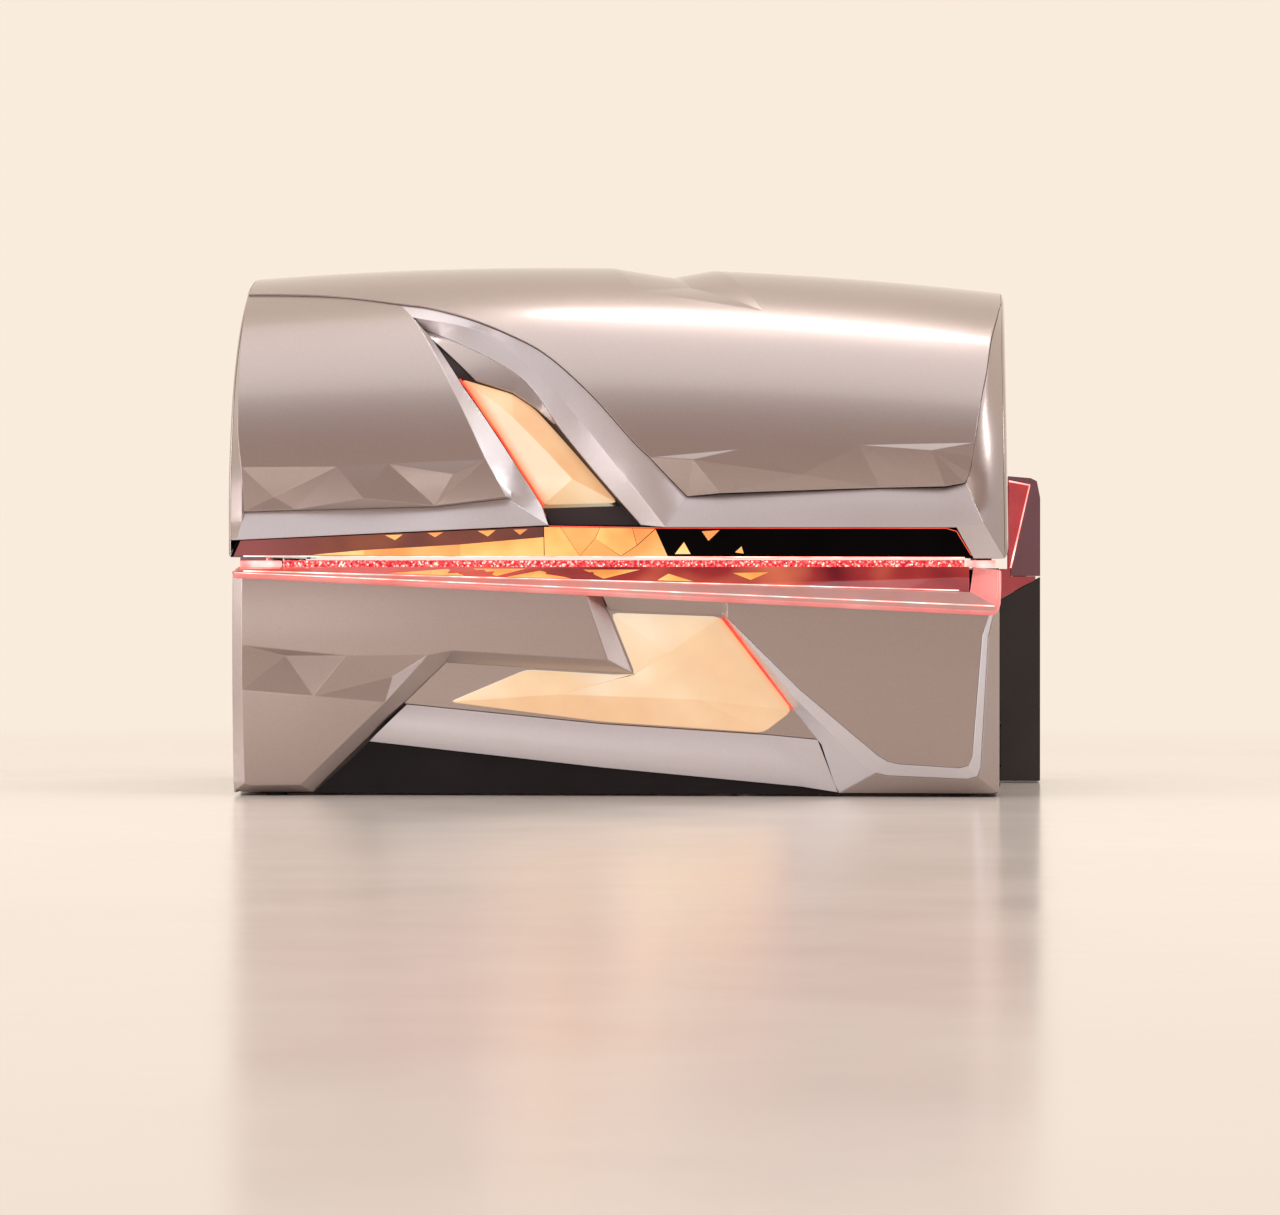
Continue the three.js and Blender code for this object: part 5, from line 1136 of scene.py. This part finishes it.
def frontAmber():
    rim = raised([(-10, 513), (296, 502), (497, 240), (416, 178), (-38, 209), (-464, 263), (-248, 354), (60, 337)],
                 bezelFace + 8.4)
    crown = bezelFace + 20
    topLeft, topRight, right, footRight, foot, left, shoulder, notch = rim
    peak, knee, heel = (150, 400, crown), (240, 270, crown), (-150, 285, crown - 4)
    drawing = [
        [topLeft, notch, peak], [topLeft, peak, topRight], [topRight, peak, knee, right],
        [right, knee, footRight], [footRight, knee, heel, foot], [notch, shoulder, heel],
        [notch, heel, knee, peak], [shoulder, left, heel], [left, foot, heel]]
    drawing = softCorners(drawing, rim, 18)
    piece = reliefShell("frontAmberPanel", drawing, onFront, boltShell)
    dress(piece, "base", "amber_panel", finish["amberBolt"], "front_light_panel")
    line = [onFront(x, z, bezelFace + 7) for x, z in ((300, 500), (400, 372), (500, 243))]
    dress(swept("boltEdgeLight", [line], 3.2, finish["redEdge"]), "base", "red_lens", finish["redEdge"])


frontBezel()
frontAmber()

# Convex lower rail under the bezel plate; it flattens towards the right leg
railShell = {"wall": shellWall, "rim": 1.4, "crease": 1.0, "creaseFrom": 40, "cell": (80, 80), "spanSteps": 8,
             "flatLevel": -40}


def frontLowerRail():
    top = [(-583, 256), (-38, 202), (416, 173), (567, 159)]
    foot = [(-690, 152), (-38, 80), (519, 28), (623, 12)]
    profile = smoothLine([(0, -40), (0.2, -34), (0.45, -30), (0.65, -30), (0.85, -34), (1, -42)], 4)
    columns = []
    for i in range(len(top) - 1):
        lastSpan = i == len(top) - 2
        for step in range(railShell["spanSteps"] + lastSpan):
            t = step / railShell["spanSteps"]
            places = [[a + (b - a) * t for a, b in zip(line[i], line[i + 1])] for line in (top, foot)]
            columns.append((*places, t * t * (3 - 2 * t) if lastSpan else 0))
    rows = [[(a[0] + (b[0] - a[0]) * share, a[1] + (b[1] - a[1]) * share,
              height + (railShell["flatLevel"] - height) * flat) for a, b, flat in columns]
            for share, height in profile]
    drawing = [[a[i], b[i], b[i + 1], a[i + 1]] for a, b in zip(rows, rows[1:]) for i in range(len(columns) - 1)]
    piece = reliefShell("frontLowerRailShell", drawing, onFront, railShell)
    dress(piece, "base", "silver_rail", finish["frontSilver"], "front_lower_rail")


frontLowerRail()

# Ledge with its lip and mitred corner, the glass above it and their lit lines; the ledge and glass carry painted red
# glow and painted amber reflections
ledge = {"left": -1070, "right": 1062, "footLeft": 629.5, "footRight": 571, "end": 988, "lip": (3.3, 15),
         "lipHeight": 2, "backHeights": (-12, -42), "glassTopZ": 641, "glassTopHeight": -72, "glassLeft": -1063, "tube": 7}
ledgeShell = {"wall": 14, "rim": 1.4, "crease": 1.2, "creaseFrom": 1.2, "cell": (60, 40)}


def ledgeFoot(x):
    share = (x + frontForm["half"]) / (ledge["end"] + frontForm["half"])
    return ledge["footLeft"] + (ledge["footRight"] - ledge["footLeft"]) * share


def onBaseGlass(x, share, proud=0.0):  # share 0 is the foot of the glass, 1 its top
    along = (x - ledge["glassLeft"]) / (ledge["end"] - ledge["glassLeft"])
    low, high = ledge["backHeights"]
    footZ, footHeight = ledgeFoot(x) + 0.8, low + (high - low) * along
    return (x, footZ + (ledge["glassTopZ"] - footZ) * share,
            footHeight + (ledge["glassTopHeight"] - footHeight) * share + proud)


# Amber shapes on the base glass: a painted reflection of amber light, made as thin glowing pieces
baseAmberReflections = [
    [(-640, 0.20), (-420, 0.16), (-470, 0.80)], [(-400, 0.84), (-330, 0.20), (-250, 0.86)],
    [(-300, 0.14), (-120, 0.12), (-210, 0.70)], [(-90, 0.80), (-30, 0.18), (70, 0.82)],
    [(120, 0.16), (220, 0.14), (150, 0.58)], [(330, 0.66), (380, 0.30), (430, 0.72)]]


def baseLedge():
    left, right, lift = ledge["left"], ledge["right"], ledge["lipHeight"]
    footLeft, footRight = (left, frontTop(left) + seamGap, lift), (right, frontTop(right) + seamGap, lift)
    topLeft = (left, footLeft[1] + ledge["lip"][0], lift)
    topRight = (right, footRight[1] + ledge["lip"][1], lift)
    backLeft = (left, ledgeFoot(left), ledge["backHeights"][0])
    backRight = (ledge["end"] + 2, ledge["footRight"], ledge["backHeights"][1])
    drawing = [[footLeft, footRight, topRight, topLeft], [topLeft, topRight, backRight, backLeft],
               [topRight, (1070, 632, -34), (1000, 640, -66), backRight]]
    piece = reliefShell("baseLedgeRim", drawing[:2], onFront, ledgeShell)
    dress(piece, "base", "rim_acrylic", finish["pinkAcrylic"], "base_rim")
    piece = reliefShell("baseLedgeCorner", drawing[2:], onFront, ledgeShell)
    dress(piece, "base", "rim_acrylic", finish["rimAcrylic"])
    corners = [(ledge["glassLeft"], 0), (ledge["end"], 0), (ledge["end"], 1), (ledge["glassLeft"], 1)]
    # The base glass is dark with a painted red glow
    piece = reliefShell("baseFasciaGlass", [[onBaseGlass(*c) for c in corners]], onFront, fasciaShell)
    dress(piece, "base", "fascia_glass", finish["redGlass"], "base_fascia")
    # Painted amber reflection on the base glass
    drawing = [[onBaseGlass(x, share, inlayShell["proud"]) for x, share in inlay] for inlay in baseAmberReflections]
    piece = reliefShell("baseFasciaInlays", drawing, onFront, inlayShell)
    dress(piece, "base", "amber_panel", finish["amberInlay"])
    footLine = [onFront(*onBaseGlass(x, 0.04, 1.2)) for x in range(-1040, 985, 25)]
    lipLine = []
    for step in range(60):
        share = step / 59
        x = left + 6 + (right - left - 10) * share
        z = frontTop(x) + ledge["lip"][0] + (ledge["lip"][1] - ledge["lip"][0]) * share
        lipLine.append(onFront(x, z, lift - 0.6))
    piece = swept("ledgeLights", [footLine, lipLine], 1.5, finish["ledLine"])
    dress(piece, "base", "red_lens", finish["ledLine"])
    # Tube along the rim's lower edge that glows as a painted red glow line
    rimLine = [onFront(x, frontTop(x) - 5, -0.5) for x in (-1066, -700, -300, 100, 500, 900, 1040)]
    rimLine += [onFront(*p) for p in ((1054, 514, -3), (1064, 524, -6), (1068, 540, -9), (1070, 590, -22),
                                      (1070, 628, -33))]
    piece = swept("ledgeRimTube", [rimLine], ledge["tube"], finish["rimAcrylic"], 14)
    dress(piece, "base", "rim_acrylic", finish["rimAcrylic"])


baseLedge()
print("base front made")

# Crystal bar: a red core with cut stones standing on its front and top; about one stone in eight glows white-pink as a
# painted glint
crystals = {"x": (-940, 975), "y": (-549, -521), "z": (637.4, 660), "pitch": 5.2,
            "rows": (639.6, 643.6, 647.6, 651.6, 655.6), "sparkleEvery": 8, "stone": 2.9, "seed": 7, "smallest": 0.7, "largest": 1.25, "turn": 0.9,
            "ends": ((-1062, -946), (981, 1062))}


def crystalBar():
    core = softened("crystalBarCore", "light_bar", 1.5)
    dress(core, "base", "crystal_bar", finish["redCrystal"], "light_bar")
    points = {"crystalStones": [], "crystalSparkles": []}
    chance = random.Random(crystals["seed"])
    count = int((crystals["x"][1] - crystals["x"][0]) / crystals["pitch"])
    for row, z in enumerate(crystals["rows"]):
        for i in range(count):
            shift = 0.25 + 0.5 * (row % 2)
            # Stones picked at random become painted glints
            sparkles = chance.random() * crystals["sparkleEvery"] < 1
            points["crystalSparkles" if sparkles else "crystalStones"].append(
                (crystals["x"][0] + (i + shift) * crystals["pitch"], crystals["y"][0] - 0.6, z))
    for name, look in (("crystalStones", "redCrystal"), ("crystalSparkles", "sparkle")):
        bm = bmesh.new()
        bmesh.ops.create_icosphere(bm, subdivisions=1, radius=crystals["stone"] * mm)
        stone = bpy.data.meshes.new("stone")
        bm.to_mesh(stone)
        bm.free()
        piece = scattered(name, points[name], addObject("stone", stone), crystals, finish[look])
        dress(piece, "base", "crystal_bar", finish[look])
    blocks = []
    for x0, x1 in crystals["ends"]:
        outline = [(crystals["y"][0], 640), (crystals["y"][1], 640), (crystals["y"][1], 659), (crystals["y"][0], 659)]
        blocks.append(extruded("block", outline, 0, x0, x1))
    piece = rounded("crystalBarEnds", merged("crystalBarEnds", blocks), 3)
    dress(piece, "base", "crystal_bar", finish["endGlow"])


crystalBar()

# Rear columns with their cowls, red lenses and lit lens rims
cowlLight = {"y": 413.6, "foot": (1112, 640.5), "top": (1168.6, 887), "inner": (1107, 899), "radius": 2.4}


def rearCorner(side):
    word = "left" if side < 0 else "right"
    label = word.capitalize()
    dress(softened("columnCover" + label, "column_" + word, 6, 3), "base", "black_cover", finish["columnBlack"],
          "column_" + word)
    dress(softened("cowlHood" + label, "cowl_" + word, 6, 3), "base", "cowl_lacquer", finish["darkLacquer"],
          "cowl_" + word)
    dress(softened("cowlLens" + label, "cowl_lens_" + word, 1.2), "base", "red_lens", finish["redLens"],
          "cowl_lens_" + word)
    line = [(side * x, cowlLight["y"], z) for x, z in (cowlLight["foot"], cowlLight["top"], cowlLight["inner"])]
    dress(swept("cowlRimLight" + label, [line], cowlLight["radius"], finish["ledLine"]), "base", "red_lens",
          finish["ledLine"])


for side in (-1, 1):
    rearCorner(side)

# Lamps: twin tubes with metal caps and moulded sockets
lamps = {"radius": 19, "half": 962.6, "cap": 16, "socket": 18, "grip": 14, "sides": 28, "pairs": 6,
         "bedY": -90, "bedHalf": 440, "bedTopZ": 637, "bedSag": 125, "bedDrop": 43, "pairGap": 71,
         "domeY": -70, "domeHalf": 425, "domeFloorZ": 676, "domeRise": 395, "domeGrow": 34, "domeEdge": 12}


def tubeRing(radius, x, y, z):
    turns = [2 * math.pi * k / lamps["sides"] for k in range(lamps["sides"])]
    return [(x, y + radius * math.cos(t), z + radius * math.sin(t)) for t in turns]


def lampPiece(name, node, body, places):
    half, cap = lamps["half"], lamps["cap"]
    full = lamps["radius"]
    profile = [(-half, full - 1.5), (cap - half, full - 1.5), (cap - half + 3, full), (half - cap - 3, full),
               (half - cap, full - 1.5), (half, full - 1.5)]
    bodies = [lofted("tube", [tubeRing(r, x, y, z) for x, r in profile]) for y, z in places]
    (y0, z0), (y1, z1) = places
    grip = lamps["grip"]
    holder = [(y0, z0 - grip), (y1, z1 - grip), (y1, z1 + grip), (y0, z0 + grip)]
    for start in (-half, half - lamps["socket"]):
        bodies.append(extruded("socket", holder, 0, start, start + lamps["socket"]))
    mesh = shaded(merged(name, bodies), 30)
    mesh.materials.append(finish["lampGlass"])
    mesh.materials.append(finish["lampCap"])
    for face in mesh.polygons:
        face.material_index = 1 if abs(face.center.x) > (half - cap - 1.5) * mm else 0
    piece = addObject(name, mesh)
    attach(piece, body)
    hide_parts(node)


def bedLamp(reach):
    sag = lamps["bedSag"] * (1 - (reach / lamps["bedHalf"]) ** 2)
    return (lamps["bedY"] + reach, lamps["bedTopZ"] - lamps["bedDrop"] - sag)


def domeLamp(share):
    edge = math.radians(lamps["domeEdge"])
    turn = edge + (math.pi - 2 * edge) * share
    return (lamps["domeY"] - (lamps["domeHalf"] + lamps["domeGrow"]) * math.cos(turn),
            lamps["domeFloorZ"] + (lamps["domeRise"] + lamps["domeGrow"]) * math.sin(turn))


for pair in range(lamps["pairs"]):
    reach = (2 * pair - lamps["pairs"] + 0.5) * lamps["pairGap"]
    bedPlaces = [bedLamp(reach), bedLamp(reach + lamps["pairGap"])]
    lampPiece(f"lowerLampPair{pair + 1}", f"lower_lamp_pair_{pair + 1}", "base", bedPlaces)
    last = 2 * lamps["pairs"] - 1
    domePlaces = [domeLamp(2 * pair / last), domeLamp((2 * pair + 1) / last)]
    lampPiece(f"upperLampPair{pair + 1}", f"upper_lamp_pair_{pair + 1}", "canopy", domePlaces)
print("lamps made")

# Pieces whose solids only need rounded edges: node, body, slot, finish, edge radius
plainPieces = [
    ("canopy_acrylic", "canopy", "clear_acrylic", "clearAcrylic", 1.0),
    ("bed_acrylic", "base", "clear_acrylic", "clearAcrylic", 1.0),
    ("upper_reflector", "canopy", "reflector", "reflectorSheet", 0.4),
    ("lower_reflector", "base", "reflector", "reflectorSheet", 0.4),
    ("canopy_frame", "canopy", "frame_steel", "powderSteel", 2.0),
    ("chassis", "base", "frame_steel", "powderSteel", 2.0),
    ("control_display", "canopy", "display", "displayGlass", 2.0),
    ("plinth", "base", "black_cover", "blackCover", 1.5),
    ("rear_wall", "base", "black_cover", "blackCover", 1.5),
    ("base_end_left", "base", "lacquer", "champagneLacquer", 2.5),
    ("base_end_right", "base", "lacquer", "champagneLacquer", 2.5),
    ("ballast_box", "base", "gear_case", "gearCase", 2.0),
    ("mains_gland", "base", "rubber", "rubber", 1.0),
    ("foot_front_left", "base", "rubber", "rubber", 1.0), ("foot_front_right", "base", "rubber", "rubber", 1.0),
    ("foot_rear_left", "base", "rubber", "rubber", 1.0), ("foot_rear_right", "base", "rubber", "rubber", 1.0),
    ("hinge_pin_left", "base", "pin_steel", "groundSteel", 1.0),
    ("hinge_pin_right", "base", "pin_steel", "groundSteel", 1.0),
    ("strut_cylinder_left", "strut_cylinder_left", "spring_black", "springBlack", 0.8),
    ("strut_cylinder_right", "strut_cylinder_right", "spring_black", "springBlack", 0.8),
    ("strut_rod_left", "strut_rod_left", "pin_steel", "groundSteel", 0.6),
    ("strut_rod_right", "strut_rod_right", "pin_steel", "groundSteel", 0.6),
    ("fan_shroud", "base", "fan_plastic", "fanPlastic", 1.5),
    ("canopy_fan_shroud", "canopy", "fan_plastic", "fanPlastic", 1.5),
    ("fan_impeller", "fan", "fan_plastic", "fanPlastic", 1.0),
    ("canopy_fan_impeller", "canopy_fan", "fan_plastic", "fanPlastic", 1.0)]

for node, body, slot, look, radius in plainPieces:
    words = node.split("_")
    name = words[0] + "".join(word.capitalize() for word in words[1:])
    dress(softened(name, node, radius), body, slot, finish[look], node)
print("plain pieces made:", len(plainPieces))

# Grilles on the base ends, guard, hatch and joint strips on the back, exhaust slats on the canopy, screws
fittings = {"endFace": 1072, "grilleY": (-260, 120), "grilleZ": (70, 196), "border": 11, "slatPitch": 15,
            "backFace": 641, "hatchX": (-620, -220), "hatchZ": (150, 420), "ribs": (-40, 620), "ribZ": (24, 628),
            "fanAt": (300, 200.4), "guardRings": (34, 62, 90, 118), "guardWire": 2.0,
            "exhaustX": (60, 540), "exhaustAlong": (1490, 1650), "exhaustSlats": 7,
            "screw": ((6, 0), (6, 1.8), (4.8, 2.8), (2.6, 2.8), (2.6, 1.2)), "screwSides": 12,
            "seed": 3, "smallest": 1.0, "largest": 1.0, "turn": 0.0}


def slab(x, y, z):
    return extruded("slab", [(y[0], z[0]), (y[1], z[0]), (y[1], z[1]), (y[0], z[1])], 0, min(x), max(x))


def screws(name, points, axis, sign, slot, look):
    rings = []
    for radius, height in fittings["screw"]:
        turns = [2 * math.pi * k / fittings["screwSides"] for k in range(fittings["screwSides"])]
        flat = [(radius * math.cos(t), radius * math.sin(t)) for t in turns]
        rings.append([p[:axis] + (sign * height,) + p[axis:] for p in flat])
    head = addObject("screwHead", outward(lofted("screwHead", rings)))
    piece = scattered(name, points, head, fittings, finish[look])
    dress(piece, "base", slot, finish[look])


def endGrille(side):
    word = "Left" if side < 0 else "Right"
    face, border = fittings["endFace"], fittings["border"]
    (y0, y1), (z0, z1) = fittings["grilleY"], fittings["grilleZ"]

    def out(low, high):
        return side * (face + low), side * (face + high)

    parts = [slab(out(0.2, 1.6), (y0, y1), (z0, z1)),
             slab(out(0.2, 6), (y0, y0 + border), (z0, z1)), slab(out(0.2, 6), (y1 - border, y1), (z0, z1)),
             slab(out(0.2, 6), (y0, y1), (z0, z0 + border)), slab(out(0.2, 6), (y0, y1), (z1 - border, z1))]
    for k in range(int((z1 - z0 - 2 * border) / fittings["slatPitch"])):
        z = z0 + border + 4 + k * fittings["slatPitch"]
        parts.append(slab(out(0.8, 4.6), (y0 + border - 1, y1 - border + 1), (z, z + 7)))
    piece = rounded("endGrille" + word, merged("endGrille" + word, parts), 1.0)
    dress(piece, "base", "black_cover", finish["blackCover"])
    corners = [(side * (face + 6), y, z) for y in (y0 + border / 2, y1 - border / 2)
               for z in (z0 + border / 2, z1 - border / 2)]
    edges = [(side * face, y, z) for y in (-560, -80, 370) for z in (36, 606)]
    screws("endScrews" + word, corners + edges, 0, side, "black_cover", "blackCover")


def backFittings():
    face = fittings["backFace"]
    (x0, x1), (z0, z1) = fittings["hatchX"], fittings["hatchZ"]
    parts = [slab((x0, x1), (face, face + 2.6), (z0, z1))]
    parts += [slab((x - 8, x + 8), (face, face + 3), fittings["ribZ"]) for x in fittings["ribs"]]
    piece = rounded("backHatch", merged("backHatch", parts), 1.0)
    dress(piece, "base", "black_cover", finish["columnBlack"])
    fanX, fanZ = fittings["fanAt"]
    wires = []
    for radius in fittings["guardRings"]:
        turns = [2 * math.pi * k / 48 for k in range(49)]
        wires.append([(fanX + radius * math.cos(t), face + 5.5, fanZ + radius * math.sin(t)) for t in turns])
    low, high = 16, fittings["guardRings"][-1]
    for k in range(8):
        turn = math.pi / 4 * (k + 0.5)
        wires.append([(fanX + r * math.cos(turn), face + 2.2, fanZ + r * math.sin(turn)) for r in (low, high)])
    piece = swept("backFanGuard", wires, fittings["guardWire"], finish["groundSteel"], 8)
    dress(piece, "base", "pin_steel", finish["groundSteel"])
    points = [(x, face, z) for x in range(-1020, 1021, 255) for z in (42, 610)]
    points += [(x, face + 2.6, z) for x in (x0 + 18, x1 - 18) for z in (z0 + 18, z1 - 18)]
    screws("backScrews", points, 1, 1, "pin_steel", "groundSteel")


def canopyExhaust():
    x0, x1 = fittings["exhaustX"]
    low, high = fittings["exhaustAlong"]
    look = {"wall": 3, "rim": 0.8, "crease": 0.5, "creaseFrom": 5, "cell": (60, 20)}
    outline = raised([(x0, low), (x1, low), (x1, high), (x0, high)], 1.6)
    piece = reliefShell("exhaustPlate", [outline], onArch, look)
    dress(piece, "canopy", "black_cover", finish["blackCover"])
    steps = [x0 + 12 + (x1 - x0 - 24) * k / 16 for k in range(17)]
    count = fittings["exhaustSlats"]
    rows = [low + (high - low) * (k + 0.5) / count for k in range(count)]
    piece = swept("exhaustSlats", [[onArch(x, along, 2.6) for x in steps] for along in rows], 5, finish["blackCover"])
    dress(piece, "canopy", "black_cover", finish["blackCover"])


for side in (-1, 1):
    endGrille(side)
backFittings()
canopyExhaust()
print("fittings made")

# Studio: a pale floor that fades into the pale background, a long overhead softbox and side strips
studio = {"half": 60, "sheen": (1.6, 3.4, 0.5, 0.04), "rear": (0.2, 1.0, 0, 2.6), "fadeFrom": (0, -5, 0), "fade": (7, 12), "background": (0.956, 0.838, 0.723)}


def seenDirectly(tree):  # 1 for what the camera sees, also through clear acrylic
    path = tree.nodes.new("ShaderNodeLightPath")
    either = tree.nodes.new("ShaderNodeMath")
    either.use_clamp = True
    tree.links.new(path.outputs["Is Camera Ray"], either.inputs[0])
    tree.links.new(path.outputs["Is Transmission Ray"], either.inputs[1])
    return either.outputs[0]


def addStage():
    half = studio["half"]
    mesh = bpy.data.meshes.new("studioFloor")
    mesh.from_pydata([(-half, -half, 0), (half, -half, 0), (half, half, 0), (-half, half, 0)], [], [(0, 1, 2, 3)])
    paint = makeFinish("studioPaint", {
        "sockets": {},
        "tone": {"scale": 0.4, "kind": "cloud", "low": (0.73, 0.665, 0.605), "high": (0.76, 0.695, 0.635)},
        "rough": {"scale": 1.5, "low": 0.15, "high": 0.20}})
    tree = paint.node_tree
    coords = tree.nodes.new("ShaderNodeTexCoord")
    away = tree.nodes.new("ShaderNodeVectorMath")
    away.operation = "DISTANCE"
    away.inputs[1].default_value = studio["fadeFrom"]
    fade = tree.nodes.new("ShaderNodeMapRange")
    fade.interpolation_type = "SMOOTHSTEP"
    fade.inputs["From Min"].default_value, fade.inputs["From Max"].default_value = studio["fade"]
    share = tree.nodes.new("ShaderNodeMath")
    share.operation = "MULTIPLY"
    haze = tree.nodes.new("ShaderNodeEmission")
    haze.inputs["Color"].default_value = rgba(studio["background"])
    mix = tree.nodes.new("ShaderNodeMixShader")
    aside = tree.nodes.new("ShaderNodeMath")
    aside.operation = "ABSOLUTE"
    sheen = tree.nodes.new("ShaderNodeMapRange")
    for socket, value in zip(("From Min", "From Max", "To Min", "To Max"), studio["sheen"]):
        sheen.inputs[socket].default_value = value
    rear = tree.nodes.new("ShaderNodeMapRange")
    for socket, value in zip(("From Min", "From Max", "To Min", "To Max"), studio["rear"]):
        rear.inputs[socket].default_value = value
    far = tree.nodes.new("ShaderNodeMath")
    tree.links.new(dotWith(tree, coords.outputs["Object"], (1, 0, 0)), aside.inputs[0])
    tree.links.new(dotWith(tree, coords.outputs["Object"], (0, 1, 0)), rear.inputs["Value"])
    tree.links.new(aside.outputs[0], far.inputs[0])
    tree.links.new(rear.outputs["Result"], far.inputs[1])
    tree.links.new(far.outputs[0], sheen.inputs["Value"])
    tree.links.new(sheen.outputs["Result"], tree.nodes["Principled BSDF"].inputs["Specular IOR Level"])
    tree.links.new(coords.outputs["Object"], away.inputs[0])
    tree.links.new(away.outputs["Value"], fade.inputs["Value"])
    tree.links.new(fade.outputs["Result"], share.inputs[0])
    tree.links.new(seenDirectly(tree), share.inputs[1])
    tree.links.new(share.outputs[0], mix.inputs["Fac"])
    tree.links.new(tree.nodes["Principled BSDF"].outputs["BSDF"], mix.inputs[1])
    tree.links.new(haze.outputs["Emission"], mix.inputs[2])
    tree.links.new(mix.outputs["Shader"], tree.nodes["Material Output"].inputs["Surface"])
    mesh.materials.append(paint)
    addObject("studioFloor", mesh)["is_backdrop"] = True


lights = {
    "overheadStrip": {"place": (0.42, 0.2, 4.6), "aim": (0.42, -0.3, 0.9), "size": (1.9, 0.30), "power": 20,
                      "colour": (1.0, 0.99, 0.99)},
    "ceiling": {"place": (0, -2.2, 9.0), "aim": (0, -1.6, 0), "size": (14.0, 7.0), "power": 215,
                "colour": (1.0, 0.99, 0.99)},
    "leftPanel": {"place": (-10.1, -11.5, 2.6), "aim": (-0.3, -0.5, 0.6), "size": (5.2, 5.0), "power": 210,
                  "colour": (1.0, 0.97, 0.99)},
    "leftStrip": {"place": (-9.4, -3.4, 3.4), "aim": (-1.0, -0.6, 0.8), "size": (1.8, 6.0), "power": 190,
                  "colour": (1.0, 0.97, 0.96)},
    "rightStrip": {"place": (9.2, -5.3, 7.1), "aim": (0.8, -0.5, 0.9), "size": (1.8, 4.8), "power": 280,
                   "colour": (1.0, 0.98, 0.98)},
    "frontPanel": {"place": (-3.4, -12.0, 1.1), "aim": (-0.8, -0.6, 0.5), "size": (3.0, 1.4), "power": 22,
                   "colour": (1.0, 0.97, 0.96)}}


def addLights():
    for name, look in lights.items():
        lamp = bpy.data.lights.new(name, "AREA")
        lamp.shape = "RECTANGLE"
        lamp.size, lamp.size_y = look["size"]
        lamp.energy = look["power"]
        lamp.color = look["colour"]
        light = addObject(name, lamp)
        light.location = look["place"]
        aim = Vector(look["aim"]) - Vector(look["place"])
        light.rotation_euler = aim.to_track_quat("-Z", "Y").to_euler()


def addWorld():
    world = bpy.data.worlds.new("studioWorld")
    world.use_nodes = True
    tree = world.node_tree
    coords = tree.nodes.new("ShaderNodeTexCoord")
    depth = dotWith(tree, coords.outputs["Generated"], (0, 0.42, 0.30))
    square = tree.nodes.new("ShaderNodeVectorMath")
    square.operation = "MULTIPLY"
    for place in (0, 1):
        tree.links.new(coords.outputs["Generated"], square.inputs[place])
    sides = dotWith(tree, square.outputs["Vector"], (0.30, 0, 0))
    level = tree.nodes.new("ShaderNodeMath")
    level.inputs[1].default_value = 0.5
    tree.links.new(depth, level.inputs[0])
    total = tree.nodes.new("ShaderNodeMath")
    tree.links.new(level.outputs[0], total.inputs[0])
    tree.links.new(sides, total.inputs[1])
    ramp = rampOf(tree, total.outputs[0], [
        (0.06, (0.94, 0.80, 0.72)), (0.11, (0.73, 0.59, 0.52)), (0.18, (0.61, 0.47, 0.41)),
        (0.27, (0.55, 0.41, 0.35)), (0.38, (0.53, 0.41, 0.36)), (0.46, (0.66, 0.60, 0.60)),
        (0.56, (0.80, 0.77, 0.79)), (0.78, (0.90, 0.87, 0.88)), (0.90, studio["background"])])
    shown = tree.nodes.new("ShaderNodeMix")
    shown.data_type = "RGBA"
    shown.inputs[7].default_value = rgba(studio["background"])
    tree.links.new(seenDirectly(tree), shown.inputs[0])
    tree.links.new(ramp.outputs["Color"], shown.inputs[6])
    tree.links.new(shown.outputs[2], tree.nodes["Background"].inputs["Color"])
    tree.nodes["Background"].inputs["Strength"].default_value = 1.0
    scene.world = world


addStage()
addLights()
addWorld()
print("studio set")

# Camera at the photograph's place: a long lens, a little to the right of the middle
view = {"azimuth": 4.0, "distance": 14000, "height": 600, "focal": 5036, "frame": (1280, 1215),
        "axisPixel": (613.0, 581.5), "frontY": -665}


def addCamera():
    turn = math.radians(view["azimuth"])
    back = Vector((math.sin(turn), -math.cos(turn), 0))
    right = Vector((math.cos(turn), math.sin(turn), 0))
    up = Vector((0, 0, 1))
    lens = bpy.data.cameras.new("photoCamera")
    lens.sensor_width = 36
    lens.lens = view["focal"] * lens.sensor_width / view["frame"][0]
    lens.clip_end = 100
    camera = addObject("photoCamera", lens)
    camera.location = (Vector((0, view["frontY"], view["height"])) + back * view["distance"]) * mm
    sideways = (view["frame"][0] / 2 - view["axisPixel"][0]) / view["focal"]
    upwards = (view["axisPixel"][1] - view["frame"][1] / 2) / view["focal"]
    aim = -back + right * sideways + up * upwards
    camera.rotation_euler = aim.to_track_quat("-Z", "Y").to_euler()
    scene.camera = camera


addCamera()

scene.view_settings.view_transform = "Standard"
low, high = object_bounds()
